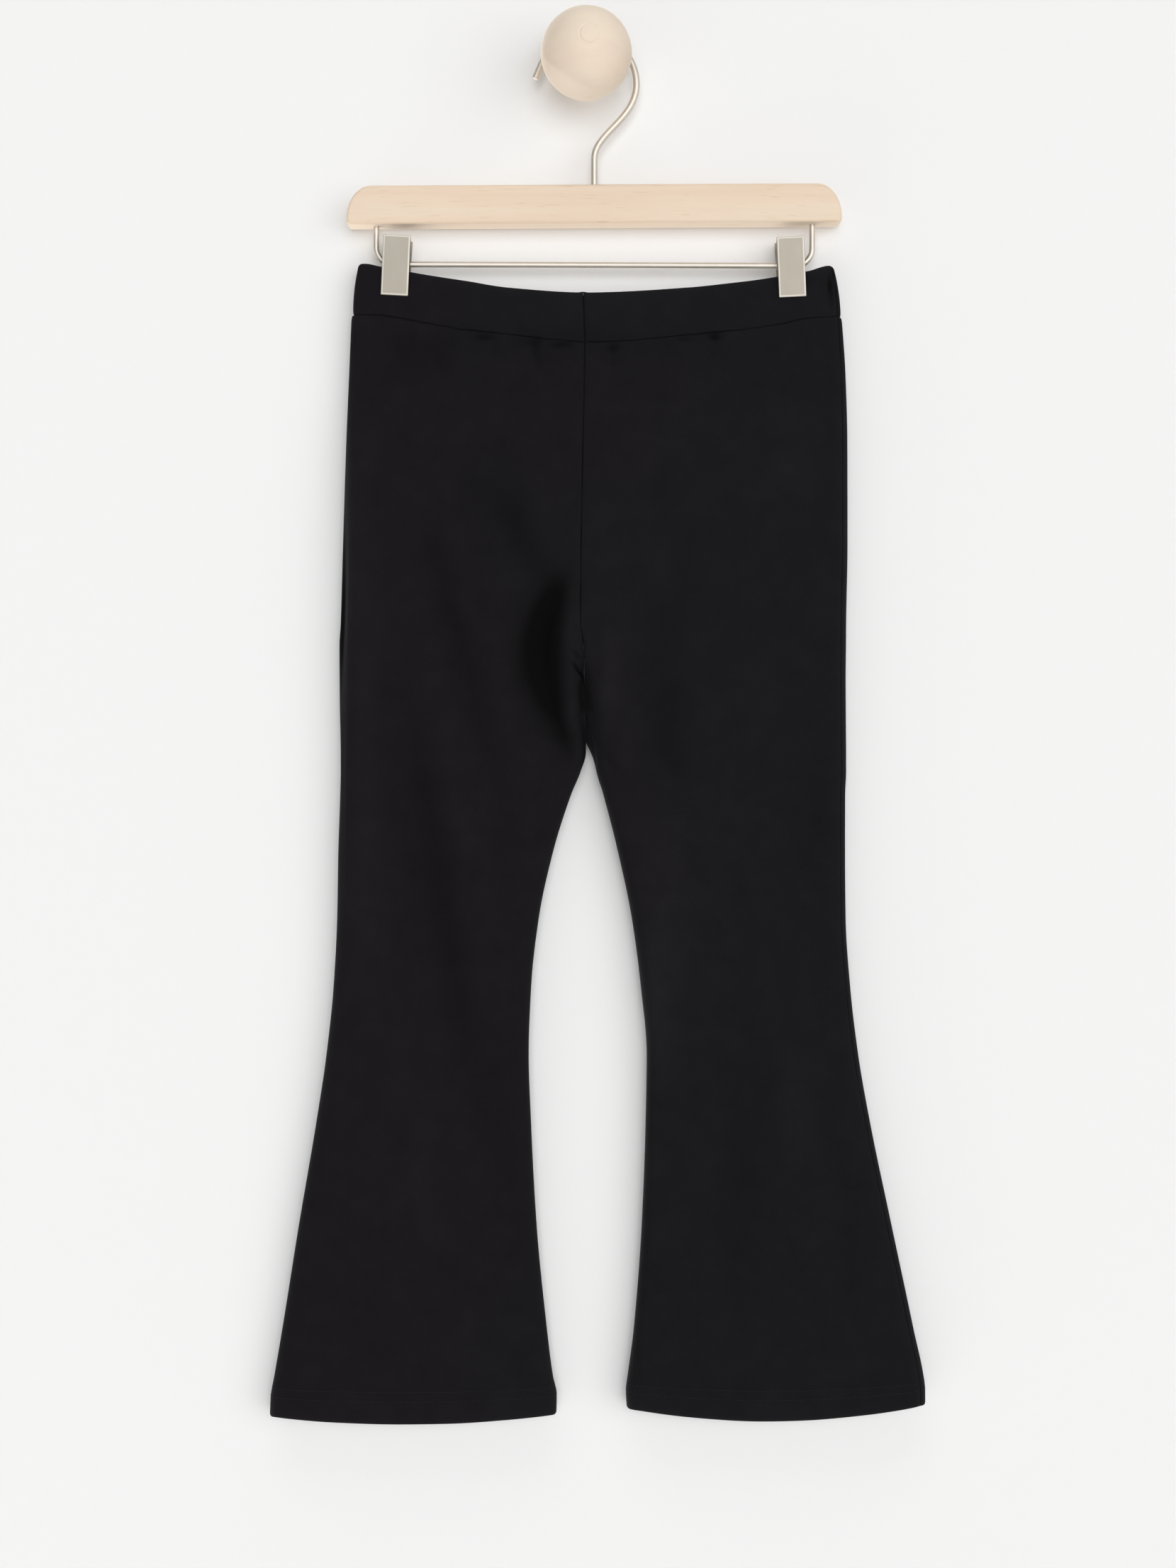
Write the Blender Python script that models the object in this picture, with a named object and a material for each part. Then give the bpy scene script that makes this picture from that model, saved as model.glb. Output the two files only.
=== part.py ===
"""Flared leggings clipped by their waistband to a wooden hanger, on a ball-shaped wall knob.

The origin is the middle of the knob's flat back, on the wall. +X is to the right, -Y comes out of
the wall and +Z is up. All sizes and places are in millimetres, and new_object() makes them metres.

The leggings hang almost flat. The side that faces the room, the near side, is the garment's back,
and the far side is its front. Each leg is a flattened tube of two panels, one near and one far.
They meet at the outer side seam and, below the crotch, at the inseam. Above the crotch the left and
right panels of one side meet at its centre seam. A place on the cloth is told by x, measured from
the middle of the hanger, and by drop, measured down from the top corners of the waistband.
"""

import math

import bmesh
import bpy
import numpy as np
from mathutils import Matrix

MM = 0.001

# Where things hang
HANG_Y = -12.0  # the plane of the hook, the bar and the middle of the cloth
HANGER_X = 5.1  # the middle of the hanger, right of the knob's axis
WAIST_TOP_Z = -128.4  # drop 0
FIT_GAP = 0.3  # between pieces that touch
SEAM_GAP = 0.3  # between pieces that are sewn together

# Cloth
PANEL_WALL = 1.2
HEM_WALL = 2.4  # the turned-up hem is two cloths thick
HEM_HEIGHT = 20.0
BAND_WALL = 2.4  # the waistband is two cloths thick as well
BAND_SIDE_RADIUS = 5.0  # of its rounded sides, about
MEAN_DEPTH = 8.0  # half the usual depth of the cloth
SIDE_ROUND = 1.15  # how wide the rounded sides are, in half depths
EDGE_ROUND = {"left": 1.0, "right": 0.8}  # the same for the inner edges of the legs
CROTCH_DROP = 268.0  # where the four panels meet
CROTCH_DIVE = 36.0  # the centre seams turn inwards over this height
SIDE_SEAM_TURN = {"left": -66.0, "right": 66.0}  # degrees from the silhouette towards the near side
BAND_FADE = 95.0  # how far down the waistband's dip and shape are felt
HEM_FADE = 60.0  # how far up the hem's curve is felt

# The outline of both legs and the half depth of each side, a row for each section
SECTION_COLUMNS = ("drop", "left_side", "left_inner", "right_inner", "right_side", "near", "far")
SECTION_ROWS = (
    (33.0, -157.1, -6.1, -6.1, 160.1, 6.0, 6.0),
    (70.0, -158.4, -6.4, -6.4, 161.9, 8.2, 7.6),
    (115.0, -160.3, -7.3, -7.3, 163.3, 9.4, 8.6),
    (181.0, -161.7, -8.4, -8.4, 163.3, 10.0, 9.0),
    (232.0, -163.5, -8.8, -8.8, 162.6, 10.0, 9.2),
    (247.0, -164.4, -7.0, -7.0, 162.4, 9.8, 9.2),
    (268.0, -164.4, -6.4, -6.4, 162.0, 9.6, 9.2),
    (290.0, -164.3, -5.4, -4.6, 162.0, 9.3, 9.0),
    (316.0, -164.0, -5.6, 0.4, 162.2, 9.0, 8.8),
    (328.0, -163.9, -9.3, 1.9, 162.2, 8.8, 8.6),
    (343.0, -164.1, -15.7, 6.3, 161.6, 8.8, 8.6),
    (379.0, -165.3, -27.6, 16.0, 161.5, 8.6, 8.4),
    (423.0, -166.3, -37.3, 25.2, 161.9, 8.4, 8.3),
    (467.0, -168.5, -41.9, 31.1, 164.7, 8.3, 8.2),
    (511.0, -173.1, -43.7, 34.8, 170.2, 8.3, 8.2),
    (555.0, -179.6, -42.3, 33.9, 178.0, 8.3, 8.2),
    (621.0, -190.6, -38.6, 31.6, 191.8, 8.4, 8.3),
    (688.0, -201.1, -31.8, 26.5, 206.0, 8.6, 8.5),
    (719.0, -206.6, -28.1, 22.4, 212.4, 9.0, 8.8),
    (732.0, -208.9, -25.5, 21.5, 213.8, 9.2, 9.0),
    (744.0, -209.4, -25.3, 22.0, 214.0, 9.2, 9.0),
)

# The hem of each leg: how low its corners hang and how much lower it sags between them
HEM_COLUMNS = ("outer_drop", "inner_drop", "sag")
HEM_ROWS = {"left": (745.4, 743.8, 5.6), "right": (737.6, 739.9, 9.7)}

# The waistband: how low its top edge and its lower seam lie, and its half depth with nothing on it
BAND_COLUMNS = ("x", "top_drop", "seam_drop", "half_depth")
BAND_ROWS = (
    (-157.0, 0.2, 33.0, 4.9),
    (-147.0, 0.5, 33.0, 4.9),
    (-139.0, 2.8, 33.2, 4.9),
    (-119.9, 6.2, 36.2, 5.2),
    (-82.7, 11.8, 43.0, 6.2),
    (-55.6, 15.8, 45.9, 6.8),
    (-4.0, 19.1, 51.1, 7.2),
    (60.5, 15.8, 46.4, 6.8),
    (94.5, 11.8, 42.9, 6.2),
    (120.0, 7.7, 39.0, 5.2),
    (139.1, 4.2, 35.1, 4.9),
    (160.0, 0.6, 34.2, 4.9),
)
BAND_SIDE = {"left": (-152.9, -156.1), "right": (154.1, 159.2)}  # x at the top edge and at the seam
BAND_SEAM_X = (-7.2, -6.1)  # the upright seam of the waistband, at the top edge and at the seam

# The largest folds: troughs are negative and ridges positive. x_bow moves the middle sideways.
FOLD_COLUMNS = ("side", "x_top", "drop_top", "x_low", "drop_low", "x_bow", "half_width", "rise")
FOLD_ROWS = (
    ("near", -21.0, 196.0, -12.0, 316.0, -13.0, 9.0, -4.6),
    ("near", -104.0, 145.0, -54.0, 345.0, -6.0, 15.0, -1.5),
    ("near", -122.0, 255.0, -62.0, 590.0, -4.0, 14.0, -1.6),
    ("near", -92.0, 110.0, -34.0, 215.0, 4.0, 11.0, -1.2),
    ("near", 42.0, 205.0, 46.0, 345.0, 6.0, 18.0, -1.2),
    ("near", 70.0, 470.0, 96.0, 690.0, 5.0, 18.0, -1.0),
    ("far", 12.0, 205.0, 4.0, 312.0, 11.0, 9.0, -3.4),
    ("far", 108.0, 150.0, 60.0, 350.0, 6.0, 16.0, -1.5),
    ("far", -48.0, 200.0, -52.0, 350.0, -6.0, 18.0, -1.2),
    ("far", 126.0, 290.0, 74.0, 600.0, 5.0, 15.0, -1.4),
    ("far", -84.0, 450.0, -118.0, 680.0, -5.0, 18.0, -1.0),
)

# How finely the cloth is divided
DROP_STEPS = (
    33, 41, 52, 66, 84, 106, 132, 160, 187, 210, 228, 238, 247, 255, 262, 268, 279, 292, 305,
    318, 332, 350, 376, 408, 444, 482, 520, 560, 602, 646, 690, 720, 724.5, 734, 744,
)  # fmt: skip
FLAT_SHARES = (0.06, 0.2, 0.29, 0.38, 0.47, 0.56, 0.65, 0.74, 0.83, 0.92, 1.0)  # finer by the clips
TURN_STEP = 27.0  # degrees of a rounded side
EDGE_STEPS = 3
BAND_SHARES = (0.0, 0.4, 0.84, 1.0)
TANGENT_STEP = 0.001  # of a parameter, when a slope is read

# Wooden bar
BAR_LENGTH = 320.6
BAR_HEIGHT = 25.0
BAR_DEPTH = 16.0
BAR_TOP_Z = -78.0
BAR_TILT = 0.3  # degrees, the right end higher
BAR_SHOULDER = (16.0, 21.0)  # how far the rounded top corners reach along and down
BAR_FOOT_RADIUS = 2.5
BAR_CORNER_STEPS = 6
BAR_FOOT_STEPS = 3
BAR_EDGE_RADIUS = 2.5

# Hook of round wire, screwed into the bar
HOOK_WIRE = 2.15
HOOK_CENTRE = (0.4, -11.4)
HOOK_RADIUS = 32.6
HOOK_TIP_ANGLE = 174.0
HOOK_BEND_Z = -60.0  # the shank is straight below this
HOOK_BEND_PULL = (18.0, 19.6)  # how strongly each end of the swan neck keeps its direction
HOOK_HOLE_DEPTH = 13.0
HOOK_SIDES = 10

# Rod of round wire under the bar, bent up into it at both ends
ROD_WIRE = 1.85
ROD_LEG_X = 141.1
ROD_Z = (-128.0, -128.9)  # its height at the left and at the right
ROD_BEND = 11.0
ROD_HOLE_DEPTH = 10.0
ROD_SIDES = 10

# Holes in the bar
HOLE_SIDES = 16
HOLE_OVERRUN = 5.0

# Clips
CLIP_WIDTH = 17.7
CLIP_PLATE = 1.2
CLIP_ABOVE = 15.9  # from the rod up to the clip's top
CLIP_BELOW = 21.0
CLIP_GRIP = 3.2  # half the thickness of the waistband where a clip holds it
CLIP_GRIP_REACH = 42.0  # how far along the band a clip is felt
CLIP_LET_GO = 0.84  # the share of the band's height where the cloth starts to open again
CLIP_EAR = 1.0  # the thickness of its ears
CLIP_EAR_REACH = 3.8  # the ears reach this far past the rod's middle
CLIP_EAR_FOOT = 3.2  # and this far below it
CLIP_EAR_TOP = 12.5
CLIP_EAR_TIP = 2.3  # how wide an ear still is at its top
CLIP_EAR_CHAMFER = 1.6
CLIP_COLUMNS = ("x", "z", "lean")
CLIP_ROWS = {"left": (-127.9, -128.0, 3.1), "right": (127.1, -129.0, -2.9)}
CLIP_OPEN = 6.0  # degrees that each jaw's top stands away

# Wall knob
BALL_RADIUS = 29.0
NECK_RADIUS = 18.7
NECK_LENGTH = 16.0
KNOB_SIDES = 28
BALL_STEPS = 11


def clear_scene():
    for obj in list(bpy.data.objects):
        bpy.data.objects.remove(obj, do_unlink=True)


def material(name, colour, roughness, metallic=0.0):
    made = bpy.data.materials.new(name)
    made.use_nodes = True
    shader = made.node_tree.nodes["Principled BSDF"]
    shader.inputs["Base Color"].default_value = (*colour, 1.0)
    shader.inputs["Roughness"].default_value = roughness
    shader.inputs["Metallic"].default_value = metallic
    return made


def new_object(name, points, faces, finish, smooth_angle=40.0):
    """A closed mesh from points in millimetres."""
    mesh = bpy.data.meshes.new(name)
    mesh.from_pydata((np.asarray(points, float) * MM).tolist(), [], faces)
    mesh.validate()
    if finish:
        mesh.materials.append(finish)
    mesh.shade_smooth()
    mesh.set_sharp_from_angle(angle=math.radians(smooth_angle))
    obj = bpy.data.objects.new(name, mesh)
    bpy.context.scene.collection.objects.link(obj)
    return obj


def as_cutter(obj):
    obj.hide_render = True
    obj.display_type = "WIRE"
    return obj


def cut(obj, cutter, operation="DIFFERENCE"):
    change = obj.modifiers.new(cutter.name, "BOOLEAN")
    change.operation = operation
    change.solver = "EXACT"
    change.object = cutter


def column(columns, rows, name):
    return np.array([row[columns.index(name)] for row in rows], float)


def smooth_between(places, values, at):
    """A smooth line through the rows, with no overshoot: a cubic for each stretch, whose slope at a
    row is the harmonic mean of the slopes on its two sides. Past the ends it stays level."""
    gap = np.diff(places)
    slope = np.diff(values) / gap
    tangent = np.zeros(len(places))
    same_way = slope[:-1] * slope[1:] > 0
    mean = 2 * slope[:-1] * slope[1:] / np.where(same_way, slope[:-1] + slope[1:], 1.0)
    tangent[1:-1] = np.where(same_way, mean, 0.0)
    tangent[0] = slope[0]
    tangent[-1] = slope[-1]
    at = np.clip(at, places[0], places[-1])
    i = np.clip(np.searchsorted(places, at, side="right") - 1, 0, len(gap) - 1)
    t = (at - places[i]) / gap[i]
    start = values[i] * (1 + 2 * t) * (1 - t) ** 2 + tangent[i] * gap[i] * t * (1 - t) ** 2
    end = values[i + 1] * t * t * (3 - 2 * t) + tangent[i + 1] * gap[i] * t * t * (t - 1)
    return start + end


def section(name, drop):
    places = column(SECTION_COLUMNS, SECTION_ROWS, "drop")
    return smooth_between(places, column(SECTION_COLUMNS, SECTION_ROWS, name), drop)


def band(name, x):
    places = column(BAND_COLUMNS, BAND_ROWS, "x")
    return smooth_between(places, column(BAND_COLUMNS, BAND_ROWS, name), x)


def ease(share):
    """0 to 1 with level ends."""
    share = np.clip(share, 0.0, 1.0)
    return share * share * (3 - 2 * share)


def folds(side, x, drop):
    """The rise of all folds of one side: each is a bell across and half a wave along its line."""
    total = np.zeros(np.broadcast(x, drop).shape)
    for row in FOLD_ROWS:
        fold = dict(zip(FOLD_COLUMNS, row))
        if fold["side"] != side:
            continue
        along = (drop - fold["drop_top"]) / (fold["drop_low"] - fold["drop_top"])
        along = np.clip(along, 0.0, 1.0)
        line = fold["x_top"] + (fold["x_low"] - fold["x_top"]) * along
        line = line + fold["x_bow"] * 4 * along * (1 - along)
        bell = np.exp(-(((x - line) / fold["half_width"]) ** 2))
        total = total + fold["rise"] * np.sin(math.pi * along) * bell
    return total


def grip(x):
    """1 where a clip holds the band, falling to 0 beside it."""
    held = np.zeros_like(x)
    for clip_x, _, _ in CLIP_ROWS.values():
        away = np.abs(x - clip_x) - CLIP_WIDTH / 2 - 1.0
        held = np.maximum(held, 1 - ease(away / CLIP_GRIP_REACH))
    return held


def band_half_depth(x, share):
    """The band's half depth: its own, pinched at the clips, and less so near its lower seam."""
    own = band("half_depth", x)
    held = grip(x) * (1 - 0.55 * ease((share - CLIP_LET_GO) / (1 - CLIP_LET_GO)))
    return own + (CLIP_GRIP - own) * held


def column_set(turn_from, turn_to):
    """The columns of one panel, from its side seam to its inner edge: how far the rounded side has
    turned, how far the flat has run, and how far the inner edge has turned in, 0 to 1. The second
    array says which of the three changes at each column, and which way."""
    steps = math.ceil(abs(turn_to - turn_from) / TURN_STEP)
    turned = np.linspace(turn_from, turn_to, steps + 1)
    flat = np.array(FLAT_SHARES)
    edge = np.linspace(0.0, 1.0, EDGE_STEPS + 1)[1:]
    turn = np.concatenate([turned, np.full(len(flat) + len(edge), turn_to)])
    run = np.concatenate([np.zeros(len(turned)), flat, np.ones(len(edge))])
    tuck = np.concatenate([np.zeros(len(turned) + len(flat)), edge])
    way = np.zeros((3, len(turn)))
    way[0, : len(turned)] = np.sign(turn_to - turn_from)
    way[1, len(turned) : len(turned) + len(flat)] = 1.0
    way[2, len(turned) + len(flat) :] = 1.0
    return np.stack([np.radians(turn), run, tuck]), way


def across(out, inner, round_out, round_in, edge_angle, columns):
    """x and the signed share of the half depth. The side is a quarter ellipse from the silhouette to
    the flat. The inner edge turns down along another one as far as edge_angle, and what it doesn't
    turn it runs on flat, so that it is always round_in wide."""
    turn, run, tuck = columns
    way = np.sign(out - inner)
    tip = math.pi / 2 - tuck * (math.pi / 2 - edge_angle)
    start = out - way * round_out
    stop = inner + way * round_in
    x = start + way * round_out * np.cos(turn) + run * (stop - start)
    x = x - way * round_in * (np.cos(tip) + tuck * (1 - np.cos(edge_angle)))
    return x, np.sin(turn) * np.sin(tip)


def cloth_depth(side, x, drop):
    """Half the depth of a leg on one side: the waistband's at the top, the sections' own further
    down, and the folds."""
    own = section(side, drop)
    held = band_half_depth(x, 1.0)
    settled = ease((drop - SECTION_ROWS[0][0]) / BAND_FADE)
    return held + (own - held) * settled + folds(side, x, drop)


def panel_points(leg, drops, columns):
    """The outer skin of a panel as a grid, rows down the leg and columns in to its inner edge."""
    mean_depth = (section("near", drops) + section("far", drops)) / 2
    gap = SEAM_GAP / 2 * (1 if leg == "right" else -1)
    out = section(leg + "_side", drops)
    inner = section(leg + "_inner", drops) + gap
    dive = np.clip((CROTCH_DROP - drops) / CROTCH_DIVE, 0.0, 1.0)
    edge_share = np.sqrt(1 - (1 - dive) ** 2)
    edge_angle = np.arcsin(np.maximum(edge_share, SEAM_GAP / 2 / mean_depth))
    round_in = mean_depth * EDGE_ROUND[leg]
    x, share = across(out, inner, mean_depth * SIDE_ROUND, round_in, edge_angle, columns)
    depth = np.where(share > 0, cloth_depth("near", x, drops), cloth_depth("far", x, drops))
    lowered = drops + lower_by(leg, x, drops)
    return np.stack([x, -share * depth, -lowered], axis=-1)


def lower_by(leg, x, drop):
    """How much lower a point hangs than its row: the dip of the waist above, the hem's curve below."""
    first = SECTION_ROWS[0][0]
    last = SECTION_ROWS[-1][0]
    at_waist = band("seam_drop", x) + SEAM_GAP - first
    hem = dict(zip(HEM_COLUMNS, HEM_ROWS[leg]))
    out = section(leg + "_side", last)
    inner = section(leg + "_inner", last)
    t = np.clip((x - out) / (inner - out), 0.0, 1.0)
    at_hem = hem["outer_drop"] + (hem["inner_drop"] - hem["outer_drop"]) * t
    at_hem = at_hem + hem["sag"] * 4 * t * (1 - t) - last
    waist_part = (1 - np.clip((drop - first) / BAND_FADE, 0.0, 1.0)) ** 2
    hem_part = (1 - np.clip((last - drop) / HEM_FADE, 0.0, 1.0)) ** 2
    return at_waist * waist_part + at_hem * hem_part


def band_points(leg, share, columns):
    """The outer skin of one quarter of the waistband, in the same way as a panel. Its rows go by the
    share of the band's height, and along the seam its columns stand right above the panel's."""
    top_side, low_side = BAND_SIDE[leg]
    out = top_side + (low_side - top_side) * share
    seam_x = BAND_SEAM_X[0] + (BAND_SEAM_X[1] - BAND_SEAM_X[0]) * share
    inner = seam_x + SEAM_GAP / 2 * (1 if leg == "right" else -1)
    first = SECTION_ROWS[0][0]
    mean_depth = (section("near", first) + section("far", first)) / 2
    step_out = abs(section(leg + "_side", first) - low_side)
    round_out = mean_depth * SIDE_ROUND - step_out
    round_in = mean_depth * EDGE_ROUND[leg]
    x, depth_share = across(out, inner, round_out, round_in, math.pi / 2, columns)
    depth = band_half_depth(x, share)
    top = band("top_drop", x)
    drop = top + (band("seam_drop", x) - top) * share
    return np.stack([x, -depth_share * depth, -drop], axis=-1)


def skin_and_normals(surface, rows, columns, way):
    """The points of a surface on a grid and its normals, from steps along both parameters. The first
    and last rows get level normals, so that the rim there stays level."""
    rows = np.asarray(rows, float)[:, None]
    points = surface(rows, columns)
    step = TANGENT_STEP
    along = surface(rows, columns + step * way) - surface(rows, columns - step * way)
    row_step = step * np.ptp(rows)
    down = surface(rows + row_step, columns) - surface(rows - row_step, columns)
    normals = np.cross(along, down)
    normals[[0, -1], :, 2] = 0.0
    return points, normals / np.linalg.norm(normals, axis=-1, keepdims=True)


def panel_skin(leg, side, drops):
    towards = 1.0 if side == "near" else -1.0
    seam_turn = SIDE_SEAM_TURN[leg] + towards * math.degrees(SEAM_GAP / 2 / MEAN_DEPTH)
    columns, way = column_set(seam_turn, towards * 90.0)
    return skin_and_normals(lambda r, c: panel_points(leg, r, c), drops, columns, way)


def band_skin(leg, side):
    towards = 1.0 if side == "near" else -1.0
    seam_turn = SIDE_SEAM_TURN[leg] + towards * math.degrees(SEAM_GAP / 2 / BAND_SIDE_RADIUS)
    columns, way = column_set(seam_turn, towards * 90.0)
    return skin_and_normals(lambda r, c: band_points(leg, r, c), BAND_SHARES, columns, way)


def thick_cloth(name, outer, normals, wall, finish):
    """A closed wall: the inner skin lies one wall's thickness behind the outer one, along its
    normals, and a rim joins the two all round. Rows and columns are those of the outer skin."""
    rows, cols = outer.shape[:2]
    outwards = np.sign((normals[..., 1] * outer[..., 1]).sum())
    inner = outer - outwards * normals * np.broadcast_to(wall, (rows, cols))[..., None]
    points = np.concatenate([outer.reshape(-1, 3), inner.reshape(-1, 3)])
    points += (HANGER_X, HANG_Y, WAIST_TOP_Z)
    number = np.arange(rows * cols).reshape(rows, cols)
    quads = np.stack([number[:-1, :-1], number[:-1, 1:], number[1:, 1:], number[1:, :-1]], axis=-1)
    skin = quads.reshape(-1, 4)
    edge = np.concatenate([number[0, :], number[1:, -1], number[-1, -2::-1], number[-2::-1, 0]])
    rim = np.stack([edge[1:], edge[:-1], edge[:-1] + rows * cols, edge[1:] + rows * cols], axis=-1)
    faces = np.concatenate([skin, skin[:, ::-1] + rows * cols, rim])
    if outwards < 0:
        faces = faces[:, ::-1]
    return new_object(name, points, faces.tolist(), finish)


def make_panels(finish):
    drops = np.array(DROP_STEPS, float)
    hem_top = SECTION_ROWS[-1][0] - HEM_HEIGHT
    wall = np.where(drops > hem_top, HEM_WALL, PANEL_WALL)[:, None]
    for garment_side, side in (("back", "near"), ("front", "far")):
        for leg in ("left", "right"):
            points, normals = panel_skin(leg, side, drops)
            thick_cloth(f"{garment_side}_{leg}_leg", points, normals, wall, finish)


def make_waistband(finish):
    for garment_side, side in (("back", "near"), ("front", "far")):
        for leg in ("left", "right"):
            points, normals = band_skin(leg, side)
            thick_cloth(f"waistband_{garment_side}_{leg}", points, normals, BAND_WALL, finish)


def tube(name, line, radius, sides, finish):
    """A round wire along a line of (x, z) points in the hanging plane, closed flat at both ends.
    Each ring stands square to the line's direction at its point."""
    line = np.asarray(line, float)
    along = np.gradient(line, axis=0)
    along /= np.linalg.norm(along, axis=1, keepdims=True)
    angle = np.arange(sides) * 2 * math.pi / sides
    side_x = -along[:, 1:2] * np.cos(angle)
    side_z = along[:, 0:1] * np.cos(angle)
    x = line[:, 0:1] + radius * side_x
    z = line[:, 1:2] + radius * side_z
    y = HANG_Y + radius * np.sin(angle) + 0 * x
    points = np.stack([x, y, z], axis=-1).reshape(-1, 3)
    number = np.arange(len(points)).reshape(len(line), sides)
    faces = []
    for ring, following in zip(number[:-1], number[1:]):
        turned = np.roll(ring, -1)
        turned_next = np.roll(following, -1)
        faces += np.stack([ring, following, turned_next, turned], axis=1).tolist()
    faces += [number[0].tolist(), number[-1, ::-1].tolist()]
    return new_object(name, points, faces, finish)


def arc(centre, radius, start, end, steps):
    angle = np.radians(np.linspace(start, end, steps + 1))
    return np.stack([centre[0] + radius * np.cos(angle), centre[1] + radius * np.sin(angle)], axis=1)


def bezier(points, steps):
    a, b, c, d = (np.array(point, float) for point in points)
    t = np.linspace(0.0, 1.0, steps + 1)[:, None]
    return a * (1 - t) ** 3 + 3 * b * t * (1 - t) ** 2 + 3 * c * t * t * (1 - t) + d * t**3


def hook_line():
    """Up out of the bar, over in a swan neck to the hook's right, and round its crown to the tip."""
    right = (HOOK_CENTRE[0] + HOOK_RADIUS, HOOK_CENTRE[1])
    foot = (HANGER_X, BAR_TOP_Z - HOOK_HOLE_DEPTH + FIT_GAP)
    bend = (HANGER_X, HOOK_BEND_Z)
    pull_low, pull_high = HOOK_BEND_PULL
    handles = (bend, (bend[0], bend[1] + pull_low), (right[0], right[1] - pull_high), right)
    round_part = arc(HOOK_CENTRE, HOOK_RADIUS, 0.0, HOOK_TIP_ANGLE, 16)
    return np.concatenate([[foot], bezier(handles, 8), round_part[1:]])


def rod_line():
    """Down out of the bar at the left, along under it, and up into it again at the right."""
    left_z, right_z = ROD_Z
    top = BAR_TOP_Z - BAR_HEIGHT + ROD_HOLE_DEPTH - FIT_GAP
    left = HANGER_X - ROD_LEG_X
    right = HANGER_X + ROD_LEG_X
    left_bend = arc((left + ROD_BEND, left_z + ROD_BEND), ROD_BEND, 180.0, 270.0, 5)
    right_bend = arc((right - ROD_BEND, right_z + ROD_BEND), ROD_BEND, 270.0, 360.0, 5)
    return np.concatenate([[(left, top)], left_bend, right_bend, [(right, top)]])


def cylinder_cutter(name, x, z_from, z_to, radius):
    mesh = bpy.data.meshes.new(name)
    shape = bmesh.new()
    height = (z_to - z_from) * MM
    middle = Matrix.Translation((x * MM, HANG_Y * MM, (z_from + z_to) / 2 * MM))
    bmesh.ops.create_cone(
        shape, cap_ends=True, segments=HOLE_SIDES, radius1=radius * MM, radius2=radius * MM,
        depth=height, matrix=middle,
    )  # fmt: skip
    shape.to_mesh(mesh)
    shape.free()
    obj = bpy.data.objects.new(name, mesh)
    bpy.context.scene.collection.objects.link(obj)
    return as_cutter(obj)


def bar_outline():
    """The bar seen from the front, from its right foot over its top to its left foot, in x from its
    middle and z from its foot. The shoulders are quarter ellipses and the feet quarter circles."""
    half = BAR_LENGTH / 2
    along, down = BAR_SHOULDER
    turn = np.radians(np.linspace(-90.0, 0.0, BAR_FOOT_STEPS + 1))
    foot_x = half - BAR_FOOT_RADIUS + BAR_FOOT_RADIUS * np.cos(turn)
    foot_z = BAR_FOOT_RADIUS + BAR_FOOT_RADIUS * np.sin(turn)
    turn = np.radians(np.linspace(0.0, 90.0, BAR_CORNER_STEPS + 1))
    shoulder_x = half - along + along * np.cos(turn)
    shoulder_z = BAR_HEIGHT - down + down * np.sin(turn)
    x = np.concatenate([foot_x, shoulder_x])
    z = np.concatenate([foot_z, shoulder_z])
    right = np.stack([x, z], axis=1)
    return np.concatenate([right, right[::-1] * (-1, 1)])


def make_bar(finish):
    """The outline laid down from the near face to the far one, drawn in towards its middle where the
    edges are rounded, then bored for the hook and the rod."""
    outline = bar_outline()
    middle = np.array([0.0, BAR_HEIGHT / 2])
    straight = BAR_DEPTH / 2 - BAR_EDGE_RADIUS
    layers = []
    for side, turn in ((-1, -90), (-1, -45), (-1, 0), (1, 0), (1, 45), (1, 90)):
        inset = BAR_EDGE_RADIUS * (1 - math.cos(math.radians(turn)))
        depth = side * straight + BAR_EDGE_RADIUS * math.sin(math.radians(turn))
        shrink = (1 - 2 * inset / BAR_LENGTH, 1 - 2 * inset / BAR_HEIGHT)
        x, z = ((outline - middle) * shrink + middle).T
        layers.append(np.stack([x, np.full(len(outline), depth), z], axis=1))
    number = np.arange(len(layers) * len(outline)).reshape(len(layers), -1)
    faces = [number[0].tolist(), number[-1, ::-1].tolist()]
    for ring, following in zip(number[:-1], number[1:]):
        sides = (ring, following, np.roll(following, -1), np.roll(ring, -1))
        faces += np.stack(sides, axis=1).tolist()
    obj = new_object("hanger_bar", np.concatenate(layers), faces, finish)
    foot_z = BAR_TOP_Z - BAR_HEIGHT
    obj.location = (HANGER_X * MM, HANG_Y * MM, foot_z * MM)
    obj.rotation_euler = (0.0, -math.radians(BAR_TILT), 0.0)
    hole_foot = BAR_TOP_Z - HOOK_HOLE_DEPTH
    hole_top = BAR_TOP_Z + HOLE_OVERRUN
    cut(obj, cylinder_cutter("hook_hole", HANGER_X, hole_foot, hole_top, HOOK_WIRE + FIT_GAP))
    hole_foot = foot_z - HOLE_OVERRUN
    hole_top = foot_z + ROD_HOLE_DEPTH
    for name, x in (("rod_hole_left", -ROD_LEG_X), ("rod_hole_right", ROD_LEG_X)):
        cut(obj, cylinder_cutter(name, HANGER_X + x, hole_foot, hole_top, ROD_WIRE + FIT_GAP))


def prism(name, outline, x_from, x_to, finish=None):
    """A flat piece: an outline of (y, z) points between two planes square to X."""
    count = len(outline)
    low, high = sorted((x_from, x_to))
    points = [(low, y, z) for y, z in outline] + [(high, y, z) for y, z in outline]
    faces = [tuple(range(count))[::-1], tuple(range(count, 2 * count))]
    for i in range(count):
        j = (i + 1) % count
        faces.append((i, j, j + count, i + count))
    return new_object(name, points, faces, finish)


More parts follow.
